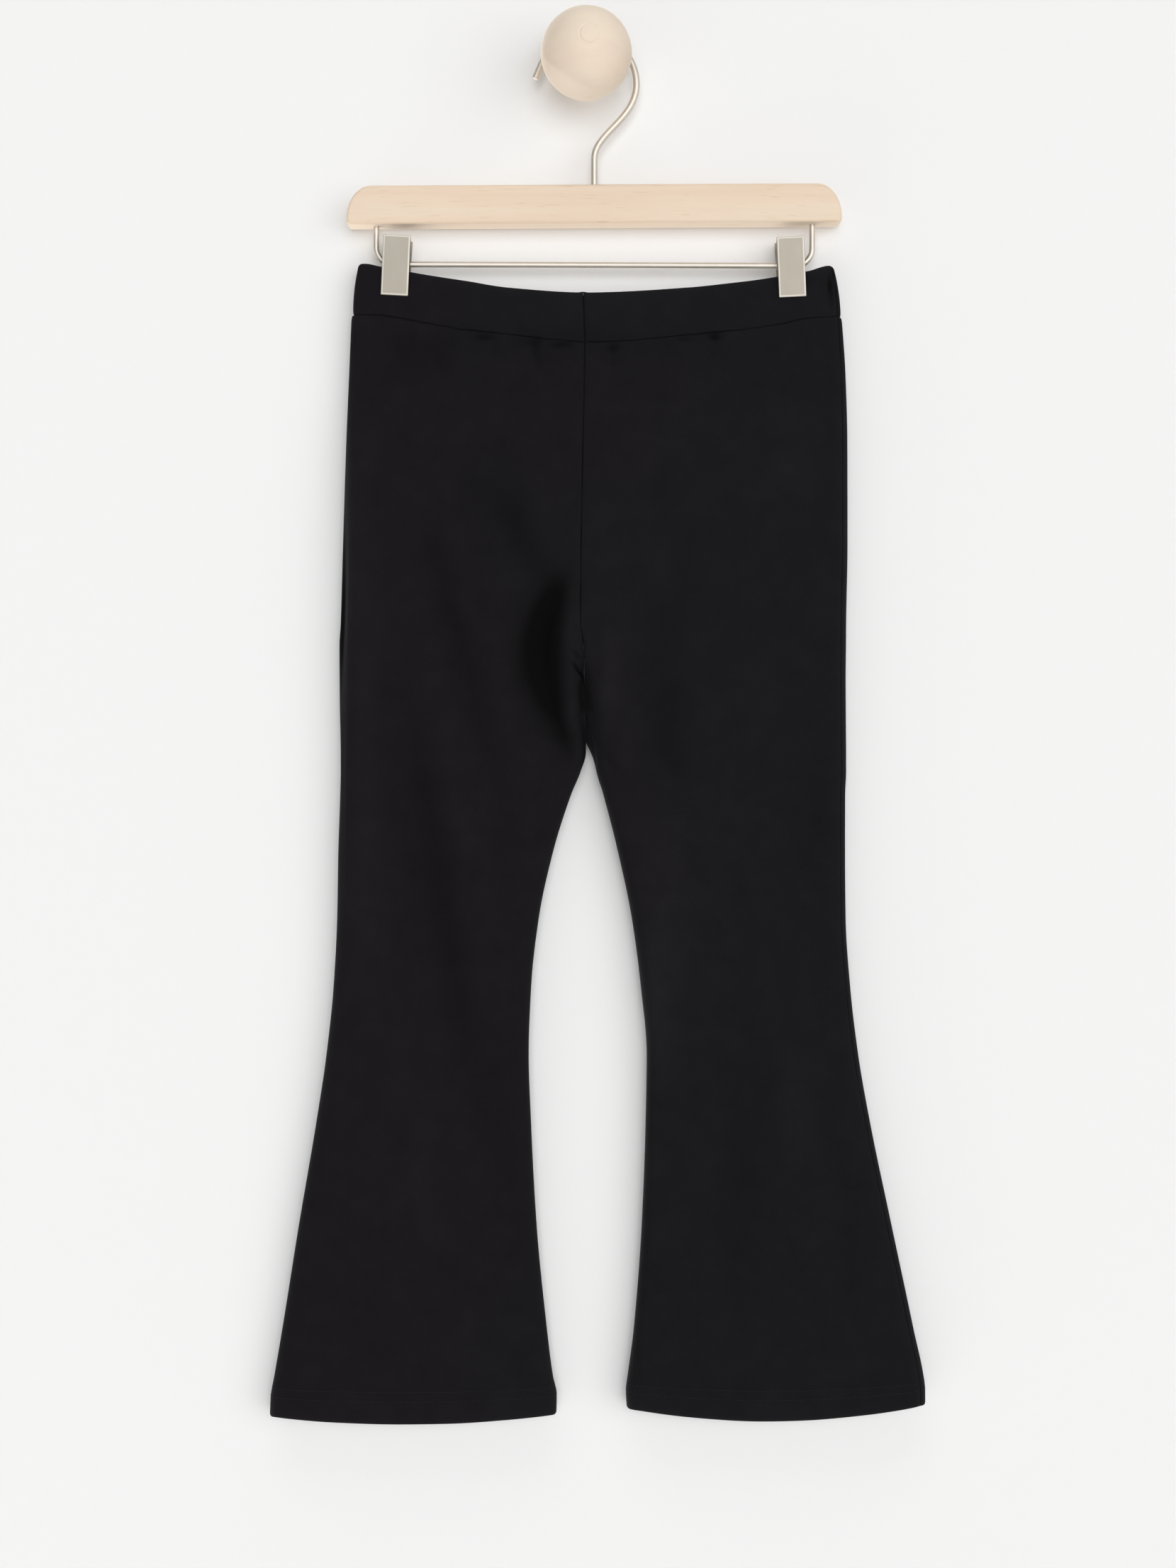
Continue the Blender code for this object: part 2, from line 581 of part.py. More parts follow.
def make_jaw(name, leg, towards, ear_inset, rod_cutter, finish):
    """One jaw: a plate whose lower lip presses on the cloth, with two ears that the rod runs through.
    In the jaw's own frame x is its width, y points away from the cloth's middle and z up from the
    rod. The plate stands away from the cloth towards its top."""
    x, z, lean = CLIP_ROWS[leg]
    slope = math.tan(math.radians(CLIP_OPEN))
    lip = CLIP_GRIP + FIT_GAP
    at_rod = lip + CLIP_BELOW * slope
    at_top = at_rod + CLIP_ABOVE * slope
    half = CLIP_WIDTH / 2
    plate = [
        (lip, -CLIP_BELOW),
        (lip + CLIP_PLATE, -CLIP_BELOW),
        (at_top + CLIP_PLATE, CLIP_ABOVE),
        (at_top, CLIP_ABOVE),
    ]
    obj = prism(name, plate, -half, half, finish)
    low_root = at_rod - CLIP_EAR_FOOT * slope + CLIP_PLATE / 2
    high_root = at_rod + CLIP_EAR_TOP * slope + CLIP_PLATE / 2
    ear = [
        (-CLIP_EAR_REACH, CLIP_EAR_CHAMFER - CLIP_EAR_FOOT),
        (CLIP_EAR_CHAMFER - CLIP_EAR_REACH, -CLIP_EAR_FOOT),
        (low_root, -CLIP_EAR_FOOT),
        (high_root, CLIP_EAR_TOP),
        (high_root - CLIP_EAR_TIP, CLIP_EAR_TOP),
        (-CLIP_EAR_REACH, CLIP_EAR_FOOT),
    ]
    place = Matrix.Translation(((HANGER_X + x) * MM, HANG_Y * MM, z * MM))
    place = place @ Matrix.Rotation(math.radians(lean), 4, "Y")
    place = place @ Matrix.Rotation(math.pi if towards < 0 else 0.0, 4, "Z")
    obj.matrix_world = place
    for number, way in enumerate((-1, 1)):
        outer = way * (half - ear_inset)
        cutter = prism(f"{name}_ear_{number}", ear, outer, outer - way * CLIP_EAR)
        cutter.matrix_world = place
        cut(obj, as_cutter(cutter), "UNION")
    cut(obj, rod_cutter)


def make_clips(finish):
    clearance = tube("rod_clearance", rod_line(), ROD_WIRE + FIT_GAP, ROD_SIDES, None)
    rod_cutter = as_cutter(clearance)
    for leg in ("left", "right"):
        make_jaw(f"clip_{leg}_near_jaw", leg, -1, 0.0, rod_cutter, finish)
        make_jaw(f"clip_{leg}_far_jaw", leg, 1, CLIP_EAR + FIT_GAP, rod_cutter, finish)


def make_knob(finish):
    """Turned about Y: a neck from the wall, and a ball that starts where the neck's side meets it."""
    joint = math.asin(NECK_RADIUS / BALL_RADIUS)
    centre = -NECK_LENGTH - BALL_RADIUS * math.cos(joint)
    angle = np.linspace(joint, math.pi, BALL_STEPS + 1)[:-1]
    radii = np.concatenate([[NECK_RADIUS], BALL_RADIUS * np.sin(angle)])
    places = np.concatenate([[0.0], centre + BALL_RADIUS * np.cos(angle)])
    turn = np.arange(KNOB_SIDES) * 2 * math.pi / KNOB_SIDES
    x = radii[:, None] * np.cos(turn)
    z = radii[:, None] * np.sin(turn)
    rings = np.stack([x, np.broadcast_to(places[:, None], x.shape), z], axis=-1)
    points = np.concatenate([rings.reshape(-1, 3), [(0.0, centre - BALL_RADIUS, 0.0)]])
    number = np.arange(len(radii) * KNOB_SIDES).reshape(-1, KNOB_SIDES)
    faces = [number[0, ::-1].tolist()]
    for ring, following in zip(number[:-1], number[1:]):
        sides = (ring, np.roll(ring, -1), np.roll(following, -1), following)
        faces += np.stack(sides, axis=1).tolist()
    pole = np.full(KNOB_SIDES, len(points) - 1)
    faces += np.stack([number[-1], np.roll(number[-1], -1), pole], axis=1).tolist()
    new_object("wall_knob", points, faces, finish)


def main():
    clear_scene()
    knit = material("black_knit", (0.012, 0.011, 0.013), 0.9)
    wood = material("pale_wood", (0.78, 0.62, 0.44), 0.55)
    nickel = material("satin_nickel", (0.62, 0.59, 0.53), 0.35, 1.0)
    wire = material("bright_wire", (0.72, 0.70, 0.66), 0.2, 1.0)
    make_panels(knit)
    make_waistband(knit)
    make_bar(wood)
    tube("hook", hook_line(), HOOK_WIRE, HOOK_SIDES, wire)
    tube("clip_rod", rod_line(), ROD_WIRE, ROD_SIDES, wire)
    make_clips(nickel)
    make_knob(wood)


main()
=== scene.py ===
"""Flared leggings clipped by their waistband to a wooden hanger, on a ball-shaped wall knob, dressed.

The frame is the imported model's: the origin is the middle of the knob's flat back, on the wall. +X is
to the right, -Y comes out of the wall and +Z is up. Sizes and places are in millimetres, and
new_piece() makes them metres. A place on the cloth is told by x, measured from the middle of the
hanger, and by drop, measured down from the top corners of the waistband. The near side faces the room
and is the garment's back. The far side faces the wall and is its front.
"""

import math

import bpy
import numpy as np
from mathutils import Matrix, Vector


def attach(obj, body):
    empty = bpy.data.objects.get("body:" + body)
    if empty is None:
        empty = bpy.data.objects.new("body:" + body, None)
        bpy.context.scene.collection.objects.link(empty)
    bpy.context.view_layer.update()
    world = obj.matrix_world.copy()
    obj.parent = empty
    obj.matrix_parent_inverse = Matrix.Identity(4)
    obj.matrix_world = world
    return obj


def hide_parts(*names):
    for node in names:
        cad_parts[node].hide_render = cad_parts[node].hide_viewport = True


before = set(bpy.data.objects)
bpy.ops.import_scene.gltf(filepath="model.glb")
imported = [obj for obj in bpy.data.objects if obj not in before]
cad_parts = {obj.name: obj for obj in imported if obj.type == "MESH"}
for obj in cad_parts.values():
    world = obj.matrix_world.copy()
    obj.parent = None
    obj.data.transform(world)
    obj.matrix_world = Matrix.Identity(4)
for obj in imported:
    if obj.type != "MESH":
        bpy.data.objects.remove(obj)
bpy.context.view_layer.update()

MM = 0.001
BODY = "root"
FACING = {"near": 1.0, "far": -1.0}  # the side towards the room, and the one towards the wall
WAY_OUT = {"left": -1, "right": 1}  # along X, as seen from the room

# Where things hang
HANG_Y = -12.0  # the plane of the hook, the bar and the middle of the cloth
HANGER_X = 5.1
WAIST_TOP_Z = -128.4  # drop 0

# Cloth
SEAM_GAP = 0.06
PANEL_WALL = 1.2
BAND_WALL = 2.4
BAND_HEIGHT = 32.0  # about, to lay out its rows
BAND_SIDE_RADIUS = 5.0  # about, round its side, to lay out its columns
PANEL_SIDE_RADIUS = 8.0
SIDE_ROUND = 1.15  # how wide the rounds of a side and of an inner edge are, in half depths
EDGE_ROUND = {"left": 1.0, "right": 0.8}
SIDE_SEAM_TURN = {"left": -66.0, "right": 50.0}  # degrees round the side from its silhouette
CROTCH_DROP = 268.0
CROTCH_DIVE = 36.0  # over this height the two legs part
GAP_SHADE_CLOTH = (303.0, 17.0, 7.0)  # where the far cloth reaches in behind the legs' gap, a dark stand-in for the shade there: drop, half height, reach
BAND_FADE = 95.0  # how far down a leg the waistband's depth and dip are felt
HEM_FADE = 60.0  # and how far up its hem's curve is

# Turned-up hem
HEM_WALL = 2.4
HEM_HEIGHT = 20.0
HEM_STEP = 0.8  # its upper edge shows as a step this tall
HEM_STEP_RISE = 0.4
HEM_CORNER_HANGS = 2.4  # how much lower it hangs at its two sides
HEM_CORNER_WIDTH = 9.5
HEM_CORNER_RADIUS = 1.6

# Seams draw the cloth in, and shade is painted into their grooves
SEAM_DIP = 0.45
SEAM_DIP_WIDTH = 2.2
SIDE_SEAM_SHARE = 0.6  # of that dip
WAIST_SEAM_SHARE = 0.8
SEAM_GROOVE_SHADE = 0.6  # how far from a seam painted shade darkens its groove
GROOVE_NEAR_SIDE = (0.92, 15.0)  # how much of the painted shade in the waist seam's groove is lost by a side, how far in
GROOVE_UNEVEN = 0.22
GROOVE_BEND = 1.3
GROOVE_SCALES = (8.0, 29.0)  # of its waves, as lengths over 2 pi
GROOVE_FAINTEST = 0.05
WEAR_WIDTH = 1.6  # how far from a worn edge the cloth is rubbed
WAIST_RIPPLE = 0.2
WAIST_RIPPLE_BEND = 1.7
WAIST_RIPPLE_SCALES = (1.9, 9.0, 31.0)

# Three low waves that cross each other all over the cloth
WAVE_RISES = (0.20, 0.14, 0.12)
WAVE_SCALES = (15.0, 7.3, 19.0)
WAVE_BENDS = (58.0, 64.0, 31.0)  # how slowly each one wanders
WAVE_TWISTS = (1.4, 1.1)  # how far the first and the last wander
WAVE_SHIFT = {"near": 0.0, "far": 2.1}
WAVES_AT_WAIST = 0.25
WAVES_ON_BAND = 0.5

# The legs' outline and half depths, and the waistband's top edge, seam and half depth
SECTION_COLUMNS = ("drop", "left_side", "left_inner", "right_inner", "right_side", "near", "far")
SECTION_ROWS = (
    (33.0, -157.1, -6.1, -6.1, 160.3, 6.0, 6.0),
    (70.0, -158.6, -6.4, -6.4, 162.7, 8.2, 7.6),
    (115.0, -160.5, -7.3, -7.3, 163.9, 9.4, 8.6),
    (181.0, -162.6, -8.4, -8.4, 164.0, 10.0, 9.0),
    (232.0, -164.1, -8.8, -8.8, 163.1, 10.0, 9.2),
    (247.0, -164.9, -7.0, -7.0, 163.0, 9.8, 9.2),
    (268.0, -164.8, -6.4, -6.4, 162.8, 9.6, 9.2),
    (289.0, -164.6, -5.2, -4.9, 162.9, 9.3, 9.0),
    (302.0, -164.3, -5.2, -2.3, 163.0, 9.1, 8.9),
    (316.0, -164.1, -5.3, 0.3, 163.1, 9.0, 8.8),
    (328.0, -164.1, -8.7, 1.6, 163.1, 8.8, 8.6),
    (343.0, -164.4, -14.9, 5.9, 162.5, 8.8, 8.6),
    (379.0, -165.6, -26.3, 15.1, 162.4, 8.6, 8.4),
    (423.0, -166.4, -35.8, 24.3, 162.8, 8.4, 8.3),
    (467.0, -168.7, -40.7, 30.1, 165.7, 8.3, 8.2),
    (511.0, -173.3, -42.3, 33.9, 170.9, 8.3, 8.2),
    (555.0, -179.9, -40.8, 33.2, 178.6, 8.3, 8.2),
    (621.0, -191.1, -37.2, 30.7, 192.4, 8.4, 8.3),
    (688.0, -201.8, -30.6, 25.6, 206.6, 8.6, 8.5),
    (719.0, -207.1, -26.7, 21.8, 212.8, 9.0, 8.8),
    (732.0, -209.4, -24.1, 20.4, 214.2, 9.2, 9.0),
    (744.0, -209.9, -24.3, 20.9, 214.3, 9.2, 9.0),
)
HEM_COLUMNS = ("outer_drop", "inner_drop", "sag")
HEM_ROWS = {"left": (743.2, 741.9, 5.7), "right": (735.7, 737.9, 9.4)}
BAND_COLUMNS = ("x", "top_drop", "seam_drop", "half_depth")
BAND_ROWS = (
    (-157.0, -0.5, 33.0, 4.9),
    (-147.0, -0.3, 33.0, 4.9),
    (-139.0, 1.3, 33.2, 4.9),
    (-119.9, 4.8, 36.2, 5.2),
    (-82.7, 11.4, 43.0, 6.2),
    (-55.6, 15.8, 45.9, 6.8),
    (-4.0, 19.1, 51.1, 7.2),
    (60.5, 15.8, 46.4, 6.8),
    (94.5, 11.8, 42.9, 6.2),
    (120.0, 7.7, 39.0, 5.2),
    (139.1, 4.2, 35.1, 4.9),
    (150.0, 1.1, 34.5, 4.9),
    (160.0, 0.2, 34.2, 4.9),
)
BAND_SIDE = {"left": (-152.9, -156.1), "right": (155.6, 159.7)}
BAND_BULGE = 0.9  # how far its sides swell out half-way down
BAND_CORNER = {"left": 2.2, "right": 3.4}
BAND_SEAM_BUMP = 0.6  # the folded top edge stands up a little at the centre seam
BAND_SEAM_BUMP_WIDTH = 2.0
BAND_SEAM_X = (-7.2, -6.1)
WAIST_ROW = SECTION_ROWS[0][0]
HEM_ROW = SECTION_ROWS[-1][0]

# The largest folds, as the solids have them
FOLD_COLUMNS = ("side", "x_top", "drop_top", "x_low", "drop_low", "bow", "half_width", "rise")
FOLD_ROWS = (
    ("near", -21.0, 196.0, -12.0, 316.0, -13.0, 9.0, -4.6),
    ("near", -104.0, 145.0, -54.0, 345.0, -6.0, 15.0, -1.5),
    ("near", -122.0, 255.0, -62.0, 590.0, -4.0, 14.0, -1.6),
    ("near", -92.0, 110.0, -34.0, 215.0, 4.0, 11.0, -1.2),
    ("near", 42.0, 205.0, 46.0, 345.0, 6.0, 18.0, -1.2),
    ("near", 70.0, 470.0, 96.0, 690.0, 5.0, 18.0, -1.0),
    ("far", 12.0, 205.0, 4.0, 312.0, 11.0, 9.0, -3.4),
    ("far", 108.0, 150.0, 60.0, 350.0, 6.0, 16.0, -1.5),
    ("far", -48.0, 200.0, -52.0, 350.0, -6.0, 18.0, -1.2),
    ("far", 126.0, 290.0, 74.0, 600.0, 5.0, 15.0, -1.4),
    ("far", -84.0, 450.0, -118.0, 680.0, -5.0, 18.0, -1.0),
)

# The finer creases: left and right are how wide each is on its two sides. Each wanders beside its line
# and swells along it in its own way: by which share, how often along it, and how far it is shifted
# from crease to crease.
CREASE_WANDERS = (0.12, 9.0, 2.3)
CREASE_SWELLS = (0.25, 7.0, 1.9)
CREASE_ENDS = 0.8  # under 1, the ends of a crease are blunter than half a wave's
CREASE_COLUMNS = (
    "side", "x_top", "drop_top", "x_low", "drop_low", "bow", "left", "right", "rise",
)  # fmt: skip
CREASE_ROWS = (
    ("near", -18.0, 190.0, -14.0, 330.0, -15.0, 17.0, 6.0, -5.0),
    ("near", -16.6, 224.0, -15.4, 314.0, -1.0, 2.6, 3.4, 1.6),
    ("near", 8.0, 226.0, 9.0, 304.0, 0.0, 5.0, 9.0, 1.5),
    ("near", 150.8, 2.0, 153.0, 32.0, 0.6, 1.2, 2.2, -4.4),
    ("near", -151.0, 90.0, -151.0, 470.0, 0.0, 9.0, 14.0, 1.2),
    ("near", -66.0, 104.0, -24.0, 216.0, -4.0, 15.0, 11.0, -1.5),
    ("near", -90.0, 116.0, -60.0, 200.0, -2.0, 10.0, 9.0, -0.8),
    ("near", -108.0, 140.0, -58.0, 350.0, -6.0, 13.0, 8.0, -1.4),
    ("near", -92.0, 150.0, -80.0, 250.0, -2.0, 7.0, 8.0, 0.7),
    ("near", -58.0, 300.0, -62.0, 430.0, 2.0, 10.0, 10.0, -1.1),
    ("near", -126.0, 240.0, -66.0, 590.0, -3.0, 15.0, 10.0, -1.5),
    ("near", -100.0, 262.0, -80.0, 400.0, -2.0, 8.0, 9.0, 0.7),
    ("near", -140.0, 290.0, -104.0, 480.0, -2.0, 10.0, 11.0, -0.8),
    ("near", -72.0, 460.0, -50.0, 650.0, 3.0, 12.0, 12.0, -1.3),
    ("near", -110.0, 540.0, -112.0, 650.0, 0.0, 10.0, 10.0, 1.0),
    ("near", -160.6, 108.0, -163.8, 310.0, 0.6, 3.0, 1.5, -5.0),
    ("near", -156.6, 100.0, -161.0, 420.0, 0.6, 1.3, 1.6, 1.4),
    ("near", 42.0, 190.0, 45.0, 360.0, 1.0, 13.0, 14.0, -1.5),
    ("near", 66.0, 150.0, 60.0, 250.0, 2.0, 12.0, 12.0, -0.6),
    ("near", 143.5, 280.0, 144.0, 440.0, 1.0, 13.0, 6.0, -1.3),
    ("near", 92.0, 300.0, 96.0, 400.0, 1.0, 5.0, 8.0, -0.6),
    ("near", 40.0, 330.0, 45.0, 540.0, 0.0, 12.0, 14.0, 1.6),
    ("near", 0.5, 302.0, 20.0, 338.0, 0.0, 3.4, 4.4, -1.5),
    ("near", -3.6, 262.0, 1.4, 322.0, 0.0, 2.4, 3.8, -2.2),
    ("near", 14.0, 258.0, 58.0, 340.0, 3.0, 10.0, 11.0, -0.9),
    ("near", 108.0, 410.0, 84.0, 650.0, 6.0, 13.0, 15.0, -1.0),
    ("near", 150.0, 510.0, 176.0, 690.0, -3.0, 12.0, 14.0, -0.8),
    ("near", -7.6, 240.0, -7.0, 272.0, 0.0, 1.6, 1.2, -1.8),
    ("near", -14.4, 257.0, -6.6, 270.0, 0.0, 1.3, 1.5, -5.0),
    ("near", -14.6, 248.0, -7.4, 260.0, 0.0, 1.6, 2.0, -1.6),
    ("near", -9.0, 258.0, -8.4, 292.0, 0.0, 2.4, 5.0, -4.0),
    ("near", -8.6, 268.0, -6.6, 336.0, 0.0, 2.2, 6.0, -4.6),
    ("near", -64.8, 44.0, -63.8, 62.0, 0.0, 2.0, 2.4, -0.7),
    ("near", -38.4, 44.0, -37.0, 72.0, 0.0, 2.4, 3.4, -1.6),
    ("near", -93.0, 41.0, -90.5, 58.0, 0.0, 2.6, 3.2, -0.7),
    ("near", -120.0, 37.0, -117.0, 56.0, 0.0, 3.0, 3.6, -0.6),
    ("near", -52.0, 46.0, -50.6, 58.0, 0.0, 1.8, 2.0, -0.4),
    ("near", 12.8, 50.0, 11.6, 68.0, 0.0, 1.5, 2.2, -1.6),
    ("near", 28.0, 49.0, 28.6, 60.0, 0.0, 1.8, 2.0, -0.4),
    ("near", 46.5, 46.0, 47.5, 62.0, 0.0, 2.0, 2.2, -0.7),
    ("near", 76.6, 43.0, 77.4, 62.0, 0.0, 2.2, 2.6, -1.2),
    ("near", 108.0, 39.0, 109.5, 54.0, 0.0, 2.2, 2.6, -0.5),
    ("far", 10.0, 190.0, 6.0, 322.0, 11.0, 6.0, 16.0, -2.6),
    ("far", 5.0, 232.0, 4.0, 306.0, 1.5, 3.0, 2.6, 1.3),
    ("far", 66.0, 108.0, 22.0, 214.0, 4.0, 11.0, 14.0, -1.6),
    ("far", 110.0, 144.0, 58.0, 350.0, 6.0, 9.0, 14.0, -1.9),
    ("far", 128.0, 254.0, 68.0, 600.0, 4.0, 10.0, 15.0, -1.9),
    ("far", -66.0, 124.0, -22.0, 240.0, -3.0, 11.0, 10.0, -1.2),
    ("far", -48.0, 200.0, -50.0, 356.0, -2.0, 13.0, 12.0, -1.1),
    ("far", -120.0, 256.0, -84.0, 526.0, -5.0, 14.0, 11.0, -1.4),
    ("far", -126.0, 550.0, -138.0, 696.0, 2.0, 12.0, 12.0, -0.9),
    ("far", 58.0, 44.0, 57.0, 64.0, 0.0, 2.4, 2.2, -1.2),
    ("far", -30.0, 48.0, -31.0, 68.0, 0.0, 2.4, 2.2, -1.3),
    ("far", -84.0, 42.0, -86.0, 62.0, 0.0, 2.4, 3.0, -0.8),
    ("far", 102.0, 40.0, 101.0, 58.0, 0.0, 2.2, 2.2, -0.8),
)

# Soft hollows and swellings, ovals as wide and as high as their two half sizes say
SWELL_COLUMNS = ("side", "x", "drop", "half_width", "half_height", "rise")
SWELL_ROWS = (
    ("near", -109.0, 62.0, 26.0, 17.0, -1.4),
    ("near", -128.0, 60.0, 12.0, 26.0, -0.8),
    ("near", 150.4, 20.0, 2.6, 8.0, -0.9),
    ("near", -31.0, 61.5, 12.0, 6.0, -0.8),
    ("near", -22.0, 52.6, 7.0, 2.0, -2.2),
    ("near", -40.6, 50.4, 5.0, 2.2, -1.3),
    ("near", -71.0, 47.6, 6.0, 2.0, -2.4),
    ("near", 58.0, 48.8, 4.0, 1.6, -1.6),
    ("near", 77.6, 47.2, 4.6, 2.0, -2.6),
    ("near", 11.0, 54.6, 4.0, 2.4, -1.8),
    ("near", -34.0, 252.0, 16.0, 38.0, -3.0),
    ("near", -17.0, 308.0, 9.0, 12.0, -1.6),
    ("near", -62.0, 150.0, 62.0, 110.0, -0.7),
    ("near", 2.0, 50.0, 118.0, 10.0, -1.2),
    ("near", -6.0, 64.0, 120.0, 24.0, -0.6),
    ("near", 0.0, 655.0, 260.0, 58.0, -1.0),
    ("near", -7.4, 52.8, 4.2, 2.6, 0.7),
    ("near", -60.0, 78.0, 16.0, 18.0, 0.5),
    ("near", 88.0, 82.0, 30.0, 18.0, -0.5),
    ("near", 120.0, 132.0, 24.0, 40.0, 0.6),
    ("near", -142.0, 420.0, 12.0, 70.0, 0.5),
    ("near", 130.0, 560.0, 26.0, 60.0, 0.6),
    ("near", -150.0, 690.0, 22.0, 30.0, -0.6),
    ("near", 60.0, 700.0, 20.0, 26.0, -0.5),
    ("far", 40.0, 96.0, 26.0, 22.0, -0.7),
    ("far", -98.0, 86.0, 28.0, 20.0, 0.6),
    ("far", 126.0, 196.0, 18.0, 44.0, 0.6),
    ("far", -134.0, 600.0, 24.0, 50.0, 0.6),
    ("far", 150.0, 694.0, 24.0, 28.0, -0.6),
)

# The edge of the seam allowance, pressed through the cloth under the middle of the back waistband
PRESSED_X = (-25.8, 13.2)
PRESSED_BELOW_SEAM = 4.2
PRESSED_RISE = 0.6
PRESSED_END = 2.5  # how far it takes to rise at its two ends, and at its lower edge
PRESSED_EDGE = 0.9

# The depths of the folds, creases and swellings paint shade into the knit's colour in the hollows and
# light onto the rises
PAINTED_SHADE_DEPTH = 6.0  # where the cloth lies this deep, the painted shade is darkest
PAINTED_LIGHT_MOST = -0.5  # and this share of it higher, the painted light is strongest

# How finely the cloth is divided
RIM_PLACES = np.array([0.0, 0.1, 0.35, 0.75, 1.2])  # from an edge inwards
PANEL_RIM_RADIUS = 9.0  # turns those places into degrees at a side
PANEL_EDGE_LENGTH = 10.0  # and into shares of the tuck at an inner edge
BAND_EDGE_LENGTH = 6.0
SIDE_STEP = 7.0  # degrees round a side
FLAT_STEPS = 62
EDGE_STEPS = 12
DROP_STRETCHES = (  # from, to, step
    (34.6, 42.0, 0.9), (42.0, 80.0, 1.25), (80.0, 200.0, 2.9), (200.0, 250.0, 2.2),
    (250.0, 302.0, 1.3), (302.0, 346.0, 2.0), (346.0, 714.0, 3.2), (714.0, 742.4, 1.4),
)  # fmt: skip
BAND_STEPS = 22
TANGENT_STEP = 0.001

# Twin-needle stitches of the hem
STITCH_ABOVE_EDGE = (13.0, 18.6)
STITCH_PITCH = 3.1
STITCH_LENGTH = 2.5
STITCH_WIDTH = 0.42
STITCH_HEIGHT = 0.18
STITCH_SIDES = 6
STITCH_RINGS = 5
STITCH_ROW_ENDS = 2.4  # what both ends of a row leave free together

# Wooden bar
BAR_LENGTH = 319.2
BAR_HEIGHT = 25.0
BAR_DEPTH = 16.0
BAR_TOP_Z = -78.0
BAR_TILT = 0.3
BAR_SHOULDER = (16.0, 21.0)
BAR_FOOT_RADIUS = 2.5
BAR_EDGE_RADIUS = 1.8
BAR_SUPPORT = 0.3  # a last ring this far inside the rounded edge
BAR_EDGE_RINGS = 8
BAR_DEPTH_RINGS = 5
BAR_FOOT_STEPS = 8
BAR_SHOULDER_STEPS = 28
BAR_LONG_STEPS = 40

# Hook and rod of round wire
FIT_GAP = 0.3
HOOK_WIRE = 2.15
HOOK_CENTRE = (-0.1, -11.4)
HOOK_RADIUS = 32.6
HOOK_LEAVES_CIRCLE = 120.0
HOOK_TIP = ((-30.0, -0.2), (-33.2, -8.0))
HOOK_TIP_PULL = 7.0
HOOK_BEND_Z = -60.0
HOOK_BEND_PULL = (17.0, 23.0)
HOOK_HOLE_DEPTH = 13.0
ROD_WIRE = 1.85
ROD_LEG_X = 141.1
ROD_Z = (-128.0, -128.9)
ROD_BEND = 11.0
ROD_HOLE_DEPTH = 10.0
WIRE_SIDES = 28
WIRE_END = 0.5  # how far the cut end is rounded
WIRE_END_RINGS = np.array([(-1.0, 0.8), (-0.7, 0.93), (-0.3, 0.99)])  # place in it, share of the radius

# Clips
CLIP_WIDTH = 17.7
CLIP_PLATE = 1.2
CLIP_ABOVE = 17.1
CLIP_BELOW = 21.0
CLIP_GRIP = 3.2
CLIP_GRIP_BESIDE = 1.0  # the cloth is held this far beside a plate, and let go over the reach
CLIP_GRIP_REACH = 42.0
CLIP_LET_GO = 0.84  # the share of the band's height below which the cloth is let go
CLIP_LETS_GO_BY = 0.55
CLIP_EAR = 1.0
CLIP_EAR_REACH = 3.8
CLIP_EAR_FOOT = 3.2
CLIP_EAR_TOP = 15.4
CLIP_EAR_TIP = 2.3
CLIP_EAR_CHAMFER = 1.6
CLIP_ROWS = {"left": (-127.9, -128.0, 3.1), "right": (127.1, -129.0, -2.9)}  # x, z and lean
CLIP_OPEN = 6.0
CLIP_CORNER = 0.6
CLIP_LEAST_CORNER = 0.1
# The last column says how much highlight is painted on each ring of the rim
CLIP_RIM_COLUMNS = ("out", "inwards", "rim_highlight")  # a plate's rings, from its back to its face
CLIP_RIM_ROWS = (
    (0.0, 0.2, 0.0),
    (0.2, 0.0, 0.0),
    (0.78, 0.0, 0.3),
    (1.0, 0.1, 1.0),
    (1.14, 0.28, 1.0),
    (1.2, 0.5, 1.0),
    (1.2, 0.9, 1.0),
    (1.2, 1.3, 0.0),
)
CLIP_BEVEL = 0.18
CLIP_BEVEL_FROM = 50.0  # degrees

# Wall knob
BALL_RADIUS = 29.0
NECK_RADIUS = 18.7
NECK_LENGTH = 16.0
KNOB_SIDES = 144
KNOB_RINGS = ((0.4, 23.0, 58), (26.0, 180.0, 52))  # degrees from the front: from, to, how many
BALL_CLEAR_OF_NECK = 0.02  # radians to its first free ring
NECK_FOOT = 0.6
NECK_MIDDLE = 8.0
PLUG_AT = (1.8, 3.4)
PLUG_RADIUS = 6.0
PLUG_GROOVE = 0.34
PLUG_GROOVE_WIDTH = 0.45

# The room
CAMERA_AT = (0.0011, -1.422, -0.4644)
CAMERA_LENS = 50.0
CAMERA_SENSOR = 36.0
CAMERA_SEES_FROM = 0.01
WALL_Y = 0.0008
FLOOR_Z = -1.28
ROOM_HALF = 3.2
SKY_COLOUR = (0.985, 0.985, 1.0, 1.0)
SKY_STRENGTH = 0.14
SUN_COLUMNS = ("name", "strength", "spread", "direction")
SUN_ROWS = (
    ("key", 0.98, 48.0, (-0.66, 0.75, -0.05)),
    ("front", 1.47, 38.0, (-0.04, 0.99, -0.1)),
    ("above", 1.0, 60.0, (0.08, 0.08, -0.99)),
    ("bounce", 2.6, 70.0, (0.52, -0.26, 0.80)),
    ("behind", 1.4, 50.0, (0.25, -0.85, -0.40)),
)

